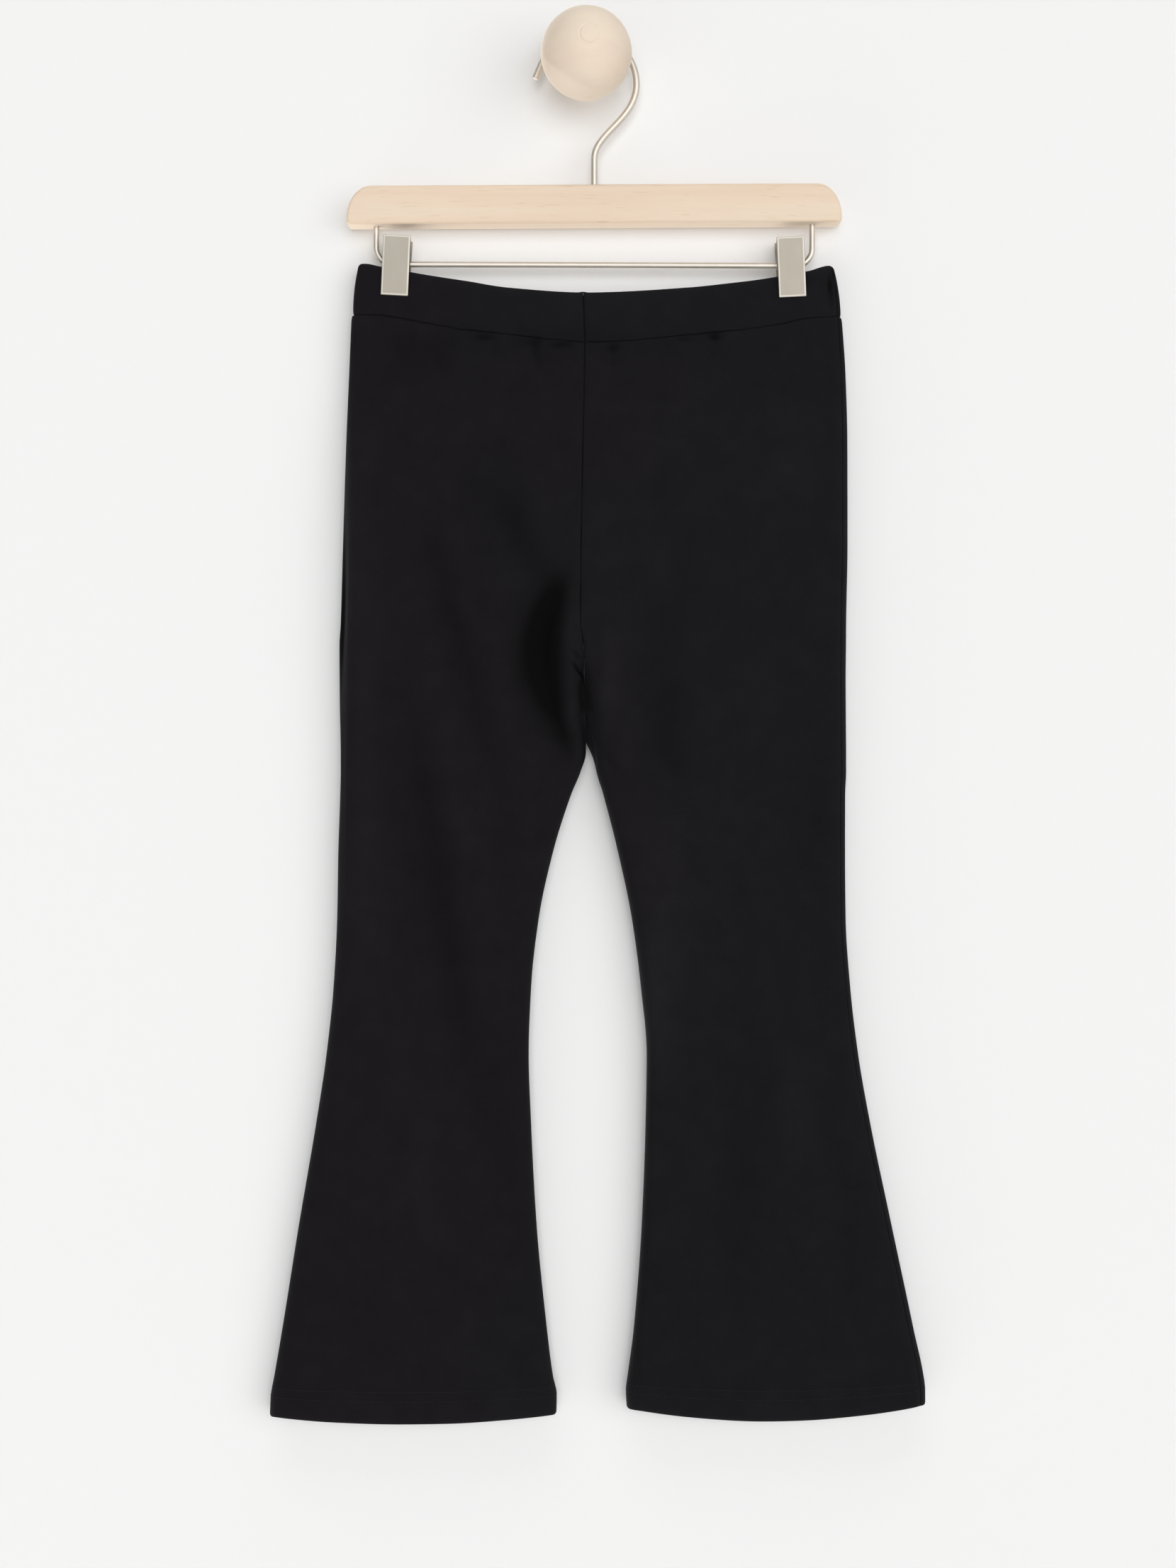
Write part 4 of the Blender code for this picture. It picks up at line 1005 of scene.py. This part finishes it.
def make_bar(finish):
    """The outline laid down from the near face to the far one, drawn in along its own normals where
    the edges are rounded."""
    outline = bar_outline()
    straight = BAR_DEPTH / 2 - BAR_EDGE_RADIUS
    edge = arc((BAR_EDGE_RADIUS, 0.0), BAR_EDGE_RADIUS, 180.0, 90.0, BAR_EDGE_RINGS - 1)
    edge = [*edge, (BAR_EDGE_RADIUS + BAR_SUPPORT, BAR_EDGE_RADIUS)]
    rings = [(-straight - out, by) for by, out in edge[::-1]]
    rings += [(depth, 0.0) for depth in np.linspace(-straight, straight, BAR_DEPTH_RINGS + 2)[1:-1]]
    rings += [(straight + out, by) for by, out in edge]
    points, faces = stacked([with_depth(inset(outline, by), depth) for depth, by in rings])
    points = turned_about("Y", -BAR_TILT, points) + (HANGER_X, HANG_Y, BAR_TOP_Z - BAR_HEIGHT)
    return new_piece("hanger_bar_wood", points, faces, finish, ["hanger_bar"], sharp=40.0)


def bezier(points, steps):
    """A curve that leaves the first point towards the second and comes to the last from the third: the
    four weighted by (1 - t)^3, 3 t (1 - t)^2, 3 t^2 (1 - t) and t^3."""
    a, b, c, d = (np.array(point, float) for point in points)
    t = np.linspace(0.0, 1.0, steps + 1)[:, None]
    return a * (1 - t) ** 3 + 3 * b * t * (1 - t) ** 2 + 3 * c * t * t * (1 - t) + d * t**3


def hook_line():
    """Up out of the bar, over in a swan neck to the hook's right, round its crown, and straight on to
    the tip."""
    right = (HOOK_CENTRE[0] + HOOK_RADIUS, HOOK_CENTRE[1])
    foot = (HANGER_X, BAR_TOP_Z - HOOK_HOLE_DEPTH + FIT_GAP)
    bend = (HANGER_X, HOOK_BEND_Z)
    pull_low, pull_high = HOOK_BEND_PULL
    handles = (bend, (bend[0], bend[1] + pull_low), (right[0], right[1] - pull_high), right)
    shank = np.linspace(foot, bend, 9)[:-1]
    round_part = arc(HOOK_CENTRE, HOOK_RADIUS, 0.0, HOOK_LEAVES_CIRCLE, steps=60)
    last, tip = np.array(HOOK_TIP)
    start = round_part[-1]
    leaving = unit(start - round_part[-2])
    arriving = unit(tip - last)
    over = (start, start + HOOK_TIP_PULL * leaving, last - HOOK_TIP_PULL * arriving, last)
    swan_neck = bezier(handles, steps=44)
    leaves = bezier(over, steps=24)
    end = np.linspace(last, tip, 6)[1:]
    return np.concatenate([shank, swan_neck, round_part[1:], leaves[1:], end])


def rod_line():
    """Down out of the bar at the left, along under it, and up into it again at the right."""
    left_z, right_z = ROD_Z
    top = BAR_TOP_Z - BAR_HEIGHT + ROD_HOLE_DEPTH - FIT_GAP
    left = HANGER_X - ROD_LEG_X
    right = HANGER_X + ROD_LEG_X
    left_bend = arc((left + ROD_BEND, left_z + ROD_BEND), ROD_BEND, 180.0, 270.0, steps=20)
    right_bend = arc((right - ROD_BEND, right_z + ROD_BEND), ROD_BEND, 270.0, 360.0, steps=20)
    left_leg = np.linspace((left, top), left_bend[0], 7)[:-1]
    middle = np.linspace(left_bend[-1], right_bend[0], 41)[1:-1]
    right_leg = np.linspace(right_bend[-1], (right, top), 7)[1:]
    return np.concatenate([left_leg, left_bend, middle, right_bend, right_leg])


def make_wire(name, line, radius, finish, node):
    """A ring of points carried along a line in the hanging plane, each square to the line. The last
    rings draw in, so that the cut ends are rounded a little."""
    along = unit(np.gradient(line, axis=0))
    place, share = WIRE_END_RINGS[:, :1], WIRE_END_RINGS[:, 1]
    start = line[0] + along[0] * (place + 1) * WIRE_END
    stop = line[-1] - along[-1] * (place[::-1] + 1) * WIRE_END
    centre = np.concatenate([start, line[1:-1], stop])
    ends = len(share)
    along = np.concatenate([along[:1].repeat(ends, 0), along[1:-1], along[-1:].repeat(ends, 0)])
    thick = np.concatenate([share, np.ones(len(line) - 2), share[::-1]])[:, None] * radius
    angle = turns(WIRE_SIDES)
    x = centre[:, :1] - thick * along[:, 1:2] * np.cos(angle)
    z = centre[:, 1:2] + thick * along[:, 0:1] * np.cos(angle)
    y = HANG_Y + thick * np.sin(angle)
    points, faces = stacked(np.stack([x, y, z], axis=-1))
    return new_piece(name, points, faces, finish, [node], sharp=50.0)


def rounded_rectangle(half_width, low, high, radius, steps=6):
    """Four quarter circles, one at each corner, joined by the straight sides between them."""
    corners = ((half_width - radius, low + radius, -90.0), (half_width - radius, high - radius, 0.0))
    corners += ((radius - half_width, high - radius, 90.0), (radius - half_width, low + radius, 180.0))
    return np.concatenate([arc((x, z), radius, turn, turn + 90.0, steps) for x, z, turn in corners])


def make_jaw(name, leg, towards, ear_inset, finish, node):
    """One jaw, in its own frame: x is its width, y points away from the cloth's middle and z up from
    the rod. Its plate leans out towards its top, and its outer face has a rounded rim. Two ears stand
    back from it beside the rod."""
    x, z, lean = CLIP_ROWS[leg]
    slope = math.tan(math.radians(CLIP_OPEN))
    lip = CLIP_GRIP + FIT_GAP
    at_rod = lip + CLIP_BELOW * slope
    half = CLIP_WIDTH / 2
    layers = []
    for out, by, _ in CLIP_RIM_ROWS[::-1]:
        corner = max(CLIP_CORNER - by, CLIP_LEAST_CORNER)
        ring = rounded_rectangle(half - by, by - CLIP_BELOW, CLIP_ABOVE - by, corner)
        layers.append(with_depth(ring, at_rod + ring[:, 1] * slope + out))
    points, faces = stacked(layers)
    faces = [face[::-1] for face in faces]
    plate_points = len(points)
    rim_highlights = column(CLIP_RIM_COLUMNS, CLIP_RIM_ROWS, "rim_highlight")[::-1]
    low_root = at_rod - CLIP_EAR_FOOT * slope + CLIP_PLATE / 2
    high_root = at_rod + CLIP_EAR_TOP * slope + CLIP_PLATE / 2
    ear = np.array([
        (-CLIP_EAR_REACH, CLIP_EAR_CHAMFER - CLIP_EAR_FOOT),
        (CLIP_EAR_CHAMFER - CLIP_EAR_REACH, -CLIP_EAR_FOOT),
        (low_root, -CLIP_EAR_FOOT),
        (high_root, CLIP_EAR_TOP),
        (high_root - CLIP_EAR_TIP, CLIP_EAR_TOP),
        (-CLIP_EAR_REACH, CLIP_EAR_FOOT),
    ])  # fmt: skip
    for way in (-1, 1):
        outer = way * (half - ear_inset)
        ends = sorted((outer, outer - way * CLIP_EAR), reverse=True)
        sides = [np.column_stack([np.full(len(ear), end), ear]) for end in ends]
        ear_points, ear_faces = stacked(sides)
        faces += [[corner + len(points) for corner in face] for face in ear_faces]
        points = np.concatenate([points, ear_points])
    points = turned_about("Z", 180.0 if towards < 0 else 0.0, points)
    points = turned_about("Y", lean, points) + (HANGER_X + x, HANG_Y, z)
    # Painted highlight along the plate's rounded rim, by its rings, and painted shade over both ears
    rim_highlight = np.zeros(len(points))
    rim_highlight[:plate_points] = rim_highlights.repeat(plate_points // len(rim_highlights))
    ear_shade = (np.arange(len(points)) >= plate_points).astype(float)
    marks = {"ear_shade": ear_shade, "rim_highlight": rim_highlight}
    obj = new_piece(name, points, faces, finish, [node], sharp=35.0, marks=marks)
    bevel = obj.modifiers.new("eased edges", "BEVEL")
    bevel.width = CLIP_BEVEL * MM
    bevel.segments = 2
    bevel.limit_method = "ANGLE"
    bevel.angle_limit = math.radians(CLIP_BEVEL_FROM)
    return obj


def make_knob(finish):
    """Rings about Y: a neck from the wall, and a ball that starts where the neck's side meets it.
    The rings lie closest round the plug, whose edge is a groove of its own width and depth."""
    joint = math.asin(NECK_RADIUS / BALL_RADIUS)
    centre = -NECK_LENGTH - BALL_RADIUS * math.cos(joint)
    fine = np.radians(np.concatenate([np.linspace(*stretch) for stretch in KNOB_RINGS]))
    angle = fine[fine < math.pi - joint - BALL_CLEAR_OF_NECK][::-1]
    angle = np.concatenate([[math.pi - joint], angle])
    neck = [NECK_RADIUS - NECK_FOOT, NECK_RADIUS, NECK_RADIUS]
    radii = np.concatenate([neck, BALL_RADIUS * np.sin(angle)])
    along = np.concatenate([[0.0, -NECK_FOOT, -NECK_MIDDLE], centre - BALL_RADIUS * np.cos(angle)])
    turn = turns(KNOB_SIDES)
    x = radii[:, None] * np.cos(turn)
    z = radii[:, None] * np.sin(turn)
    rings = np.stack([x, np.broadcast_to(along[:, None], x.shape), z], axis=-1).reshape(-1, 3)
    tip = np.array([(0.0, centre - BALL_RADIUS, 0.0)])
    points = np.concatenate([rings, tip])
    outwards = (points - (0.0, centre, 0.0)) / BALL_RADIUS
    off_plug = np.hypot(points[:, 0] - PLUG_AT[0], points[:, 2] - PLUG_AT[1])
    groove = PLUG_GROOVE * np.exp(-(((off_plug - PLUG_RADIUS) / PLUG_GROOVE_WIDTH) ** 2))
    groove = np.where(points[:, 1] < centre, groove, 0.0)
    points = points - outwards * groove[:, None]
    faces = ring_faces(len(radii), KNOB_SIDES)[:, ::-1].tolist()
    faces.append(np.arange(KNOB_SIDES)[::-1].tolist())
    last = np.arange(KNOB_SIDES) + (len(radii) - 1) * KNOB_SIDES
    faces += fan_faces(last, len(rings)).tolist()
    return new_piece("wall_knob_wood", points, faces, finish, ["wall_knob"], sharp=40.0)


# How the finishes are made


class Finish:
    """A material whose nodes are added one by one, left to right."""

    def __init__(self, name):
        self.material = bpy.data.materials.new(name)
        self.material.use_nodes = True
        self.tree = self.material.node_tree
        self.shader = self.tree.nodes["Principled BSDF"]
        self.made = 0

    def feed(self, socket, value):
        """A number or a colour on the socket itself, or a link from another node's output."""
        if isinstance(value, (int, float, tuple)):
            socket.default_value = value
        else:
            self.tree.links.new(value, socket)

    def node(self, kind, inputs=(), **settings):
        """A node with its settings, and what each of its inputs gets."""
        made = self.tree.nodes.new("ShaderNode" + kind)
        self.made += 1
        made.location = (180 * self.made - 2400, -160 * (self.made % 4))
        for name, value in settings.items():
            setattr(made, name, value)
        for socket, value in dict(inputs).items():
            self.feed(made.inputs[socket], value)
        return made

    def maths(self, operation, *values):
        return self.node("Math", enumerate(values), operation=operation).outputs[0]

    def mark(self, name):
        """One of the marks that the piece's points carry."""
        return self.node("Attribute", attribute_name=name).outputs["Fac"]

    def places(self, scale=(1.0, 1.0, 1.0)):
        """The piece's own place in metres, squeezed along each axis."""
        source = self.node("TexCoord").outputs["Object"]
        return self.node("Mapping", {"Vector": source, "Scale": scale}).outputs[0]

    def noise(self, places, scale, detail=3.0, roughness=0.5, distortion=0.0):
        inputs = {"Vector": places, "Scale": scale, "Detail": detail, "Roughness": roughness}
        return self.node("TexNoise", {**inputs, "Distortion": distortion}).outputs[0]

    def ramp(self, value, *stops):
        """Colours or greys at places from 0 to 1."""
        made = self.node("ValToRGB", {0: value})
        steps = made.color_ramp.elements
        while len(steps) < len(stops):
            steps.new(0.5)
        for step, (place, colour) in zip(steps, stops):
            step.position = place
            step.color = (*(colour if isinstance(colour, tuple) else (colour,) * 3), 1.0)
        return made.outputs[0]

    def mix(self, share, first, second, how="MIX"):
        """Two colours mixed, by the sockets' numbers because several share one name."""
        inputs = {0: share, 6: first, 7: second}
        return self.node("Mix", inputs, data_type="RGBA", blend_type=how).outputs[2]

    def bump(self, height, strength, distance, before=None):
        inputs = {"Height": height, "Strength": strength, "Distance": distance}
        if before is not None:
            inputs["Normal"] = before
        return self.node("Bump", inputs).outputs[0]

    def set(self, **values):
        """What the shader gets: a number or a colour on its own socket, or a pattern."""
        for name, value in values.items():
            self.feed(self.shader.inputs[name.replace("_", " ")], value)


def knit_finish(name):
    """Fine black jersey: columns of small V-shaped stitches, a soft sheen and paler worn edges. Shade is
    painted into the hollows, the seams' grooves and between the stitches' loops, and light onto the
    rises; the left half is painted in a purplish tint of light and the right half in a bluish one."""
    made = Finish(name)
    uv = made.node("UVMap", uv_map="cloth").outputs[0]
    u, v, _ = made.node("SeparateXYZ", {0: uv}).outputs
    in_wale = made.maths("PINGPONG", made.maths("DIVIDE", u, KNIT_WALE), 0.5)
    slant = made.maths("MULTIPLY_ADD", in_wale, 1.3, made.maths("DIVIDE", v, KNIT_COURSE))
    loops = made.maths("SINE", made.maths("MULTIPLY", slant, 2 * math.pi))
    rib = made.maths("SINE", made.maths("MULTIPLY", in_wale, 2 * math.pi))
    height = made.maths("MULTIPLY_ADD", loops, 0.3, rib)
    places = made.places()
    uneven = made.noise(places, 55.0, detail=4.0, roughness=0.6)
    fuzz = made.noise(places, 2600.0, detail=2.0, roughness=0.7)
    soft = made.bump(uneven, 0.15, 0.0012)
    fuzzy = made.bump(fuzz, 0.25, 0.0002, soft)
    made.set(Normal=made.bump(height, 0.45, 0.00012, fuzzy))
    # Painted tint of light: the left half purplish, as under warmer light from the left, and the right
    # half bluish
    to_the_right = made.node("SeparateXYZ", {0: places}).outputs[0]
    half = made.maths("MULTIPLY_ADD", to_the_right, 2.2, made.noise(places, 5.0, detail=2.0))
    light_tint = made.ramp(half, (0.35, KNIT_LIGHT_TINTS[0]), (0.65, KNIT_LIGHT_TINTS[1]))
    colour = made.mix(1.0, light_tint, made.ramp(uneven, (0.3, 0.86), (0.72, 1.14)), "MULTIPLY")
    # Painted shade between the stitches' loops, darker where the knit lies lower
    colour = made.mix(0.6, colour, made.ramp(height, (0.0, 0.55), (0.9, 1.0)), "MULTIPLY")
    # Painted shade in the hollows and seam grooves, and painted light on the rises, darken or lighten the
    # colour
    painted_shading = made.mark("painted_shading")
    shade_share = made.maths("POWER", made.maths("MAXIMUM", painted_shading, 0.0), 1.4)
    light_and_shade = made.maths("MULTIPLY_ADD", made.maths("MINIMUM", painted_shading, 0.0), -KNIT_PAINTED_LIGHT, 1.0)
    light_and_shade = made.maths("MULTIPLY_ADD", shade_share, -KNIT_PAINTED_SHADE, light_and_shade)
    colour = made.mix(1.0, colour, light_and_shade, "MULTIPLY")
    worn = made.ramp(fuzz, (0.35, 0.05), (0.75, 0.5))
    colour = made.mix(made.maths("MULTIPLY", made.mark("wear"), worn), colour, KNIT_RUBBED)
    made.set(Base_Color=colour, Roughness=made.ramp(fuzz, (0.3, 0.82), (0.7, 0.96)))
    made.set(Specular_IOR_Level=KNIT_GLOSS, Sheen_Weight=KNIT_SHEEN)
    made.set(Sheen_Roughness=0.5, Sheen_Tint=KNIT_SHEEN_TINT)
    return made.material


def thread_finish():
    """Black sewing thread, twisted: fine slanting ridges and a little more gloss than the cloth."""
    made = Finish("black_thread")
    twist = made.noise(made.places(), 4200.0, detail=2.0, roughness=0.6)
    made.set(Base_Color=made.ramp(twist, (0.3, THREAD_TONES[0]), (0.7, THREAD_TONES[1])))
    made.set(Roughness=made.ramp(twist, (0.3, 0.7), (0.7, 0.9)))
    made.set(Normal=made.bump(twist, 0.4, 0.0001))
    made.set(Specular_IOR_Level=0.15, Sheen_Weight=0.04)
    return made.material


def wood_finish(name, stretch, tones, fleck):
    """Pale, close-grained wood with an oiled, matt surface: broad bands, fine fibres along the grain
    and sparse short flecks. stretch squeezes the pattern along each axis."""
    made = Finish(name)
    places = made.places(stretch)
    bands = made.noise(places, 1.0, distortion=0.6)
    fibres = made.noise(places, 7.0, detail=5.0, roughness=0.65)
    flecks = made.noise(places, 11.0, detail=1.0, roughness=0.4)
    colour = made.ramp(bands, (0.28, tones[0]), (0.52, tones[1]), (0.75, tones[2]))
    colour = made.mix(made.ramp(fibres, (0.35, 0.0), (0.8, 0.22)), colour, (*tones[3], 1.0))
    colour = made.mix(made.ramp(flecks, (0.66, 0.0), (0.74, 0.55)), colour, (*fleck, 1.0))
    grain = made.bump(fibres, 0.12, 0.0004)
    made.set(Base_Color=colour, Roughness=made.ramp(fibres, (0.3, 0.46), (0.75, 0.62)))
    made.set(Normal=made.bump(flecks, 0.08, 0.0002, grain), Specular_IOR_Level=0.35)
    made.set(Sheen_Weight=0.45, Sheen_Roughness=0.45, Sheen_Tint=WOOD_SHEEN_TINT)
    return made.material


def metal_finish(name, tones, roughness, stretch, streaks):
    """Plated steel: the plating's tone and gloss change a little along fine streaks. A highlight is
    painted paler along the clips' rounded rims, and shade is painted dark over their ears."""
    made = Finish(name)
    fine = made.noise(made.places(stretch), streaks, roughness=0.6)
    cloudy = made.noise(made.places(), 70.0, detail=2.0)
    colour = made.ramp(fine, (0.3, tones[0]), (0.7, tones[1]))
    colour = made.mix(made.ramp(cloudy, (0.45, 0.0), (0.8, 0.35)), colour, (*tones[2], 1.0))
    # Painted highlight on the clips' rims, and painted shade on their ears
    for mark, tone in (("rim_highlight", PLATING_PAINTED_HIGHLIGHT), ("ear_shade", PLATING_PAINTED_SHADE)):
        colour = made.mix(made.maths("MULTIPLY", made.mark(mark), 0.75), colour, tone)
    made.set(Base_Color=colour, Metallic=1.0)
    made.set(Roughness=made.ramp(fine, (0.25, roughness[0]), (0.75, roughness[1])))
    made.set(Normal=made.bump(fine, 0.03, 0.0001))
    return made.material


# The room


def wall_finish(name, colour):
    """Matt paint that is seen from the front only, so that the part can be looked at from behind."""
    made = Finish(name)
    grain = made.noise(made.places(), 900.0, detail=2.0)
    made.set(Base_Color=colour, Roughness=0.95, Normal=made.bump(grain, 0.02, 0.0003))
    made.set(Specular_IOR_Level=0.1)
    behind = made.node("NewGeometry").outputs["Backfacing"]
    clear = made.node("BsdfTransparent").outputs[0]
    chosen = made.node("MixShader", {0: behind, 1: made.shader.outputs[0], 2: clear})
    made.feed(made.tree.nodes["Material Output"].inputs["Surface"], chosen.outputs[0])
    return made.material


def flat_stage(name, corners, finish):
    """A flat sheet of the room, which isn't part of the object and throws no shadow."""
    mesh = bpy.data.meshes.new(name)
    mesh.from_pydata(corners, [], [(0, 1, 2, 3)])
    mesh.materials.append(finish)
    obj = placed(name, mesh)
    obj.visible_shadow = False
    return obj


def make_room():
    """A wall behind the part and a floor far below it."""
    half = ROOM_HALF
    low, high = FLOOR_Z, FLOOR_Z + 2 * half
    corners = [(-half, WALL_Y, low), (half, WALL_Y, low), (half, WALL_Y, high), (-half, WALL_Y, high)]
    wall = flat_stage("backdrop", corners, wall_finish("wall_paint", WALL_PAINT))
    wall.visible_diffuse = False
    wide = 5 * half
    corners = [(-wide, -wide, low), (wide, -wide, low), (wide, wide, low), (-wide, wide, low)]
    flat_stage("floor", corners, wall_finish("floor_paint", FLOOR_PAINT))


def make_light():
    """An even sky, and broad suns that each come along a direction."""
    world = bpy.data.worlds.new("studio")
    world.use_nodes = True
    sky = world.node_tree.nodes["Background"]
    sky.inputs["Color"].default_value = SKY_COLOUR
    sky.inputs["Strength"].default_value = SKY_STRENGTH
    bpy.context.scene.world = world
    for row in SUN_ROWS:
        sun = dict(zip(SUN_COLUMNS, row))
        data = bpy.data.lights.new(sun["name"], "SUN")
        data.energy = sun["strength"]
        data.angle = math.radians(sun["spread"])
        obj = placed(sun["name"], data)
        obj.rotation_euler = Vector(sun["direction"]).to_track_quat("-Z", "Y").to_euler()


def make_camera():
    """Square to the wall, as the photograph was taken."""
    data = bpy.data.cameras.new("camera")
    data.lens = CAMERA_LENS
    data.sensor_width = CAMERA_SENSOR
    data.clip_start = CAMERA_SEES_FROM
    obj = placed("camera", data)
    obj.location = CAMERA_AT
    obj.rotation_euler = (math.pi / 2, 0.0, 0.0)
    bpy.context.scene.camera = obj


def make_hanger():
    """The bar, the hook, the rod, the clips' jaws and the knob that holds them."""
    wire = metal_finish("wire_plating", **WIRE_PLATING)
    nickel = metal_finish("clip_plating", **CLIP_PLATING)
    make_bar(wood_finish("bar_wood", **BAR_WOOD))
    make_wire("hook_wire", hook_line(), HOOK_WIRE, wire, "hook")
    make_wire("clip_rod_wire", rod_line(), ROD_WIRE, wire, "clip_rod")
    jaws = []
    for leg in ("left", "right"):
        near = f"clip_{leg}_near_jaw"
        far = f"clip_{leg}_far_jaw"
        jaws.append(make_jaw(near + "_metal", leg, -1, 0.0, nickel, near))
        jaws.append(make_jaw(far + "_metal", leg, 1, CLIP_EAR + FIT_GAP, nickel, far))
    make_knob(wood_finish("knob_wood", **KNOB_WOOD))
    return jaws


def make_leggings():
    """Every quarter: its piece of the waistband, its leg panel and the stitches of its hem."""
    knit = knit_finish("black_jersey")
    thread = thread_finish()
    for garment_side, side in (("back", "near"), ("front", "far")):
        for leg in ("left", "right"):
            band_node = f"waistband_{garment_side}_{leg}"
            band_piece = make_band(leg, side, band_node, knit)
            node = f"{garment_side}_{leg}_leg"
            stitches = make_stitches(leg, side, node + "_hem_stitches", thread)
            panel = make_panel(leg, side, node, knit)


def main():
    bpy.context.scene.view_settings.view_transform = "Standard"
    make_camera()
    make_room()
    make_light()
    jaws = make_hanger()
    make_leggings()


main()
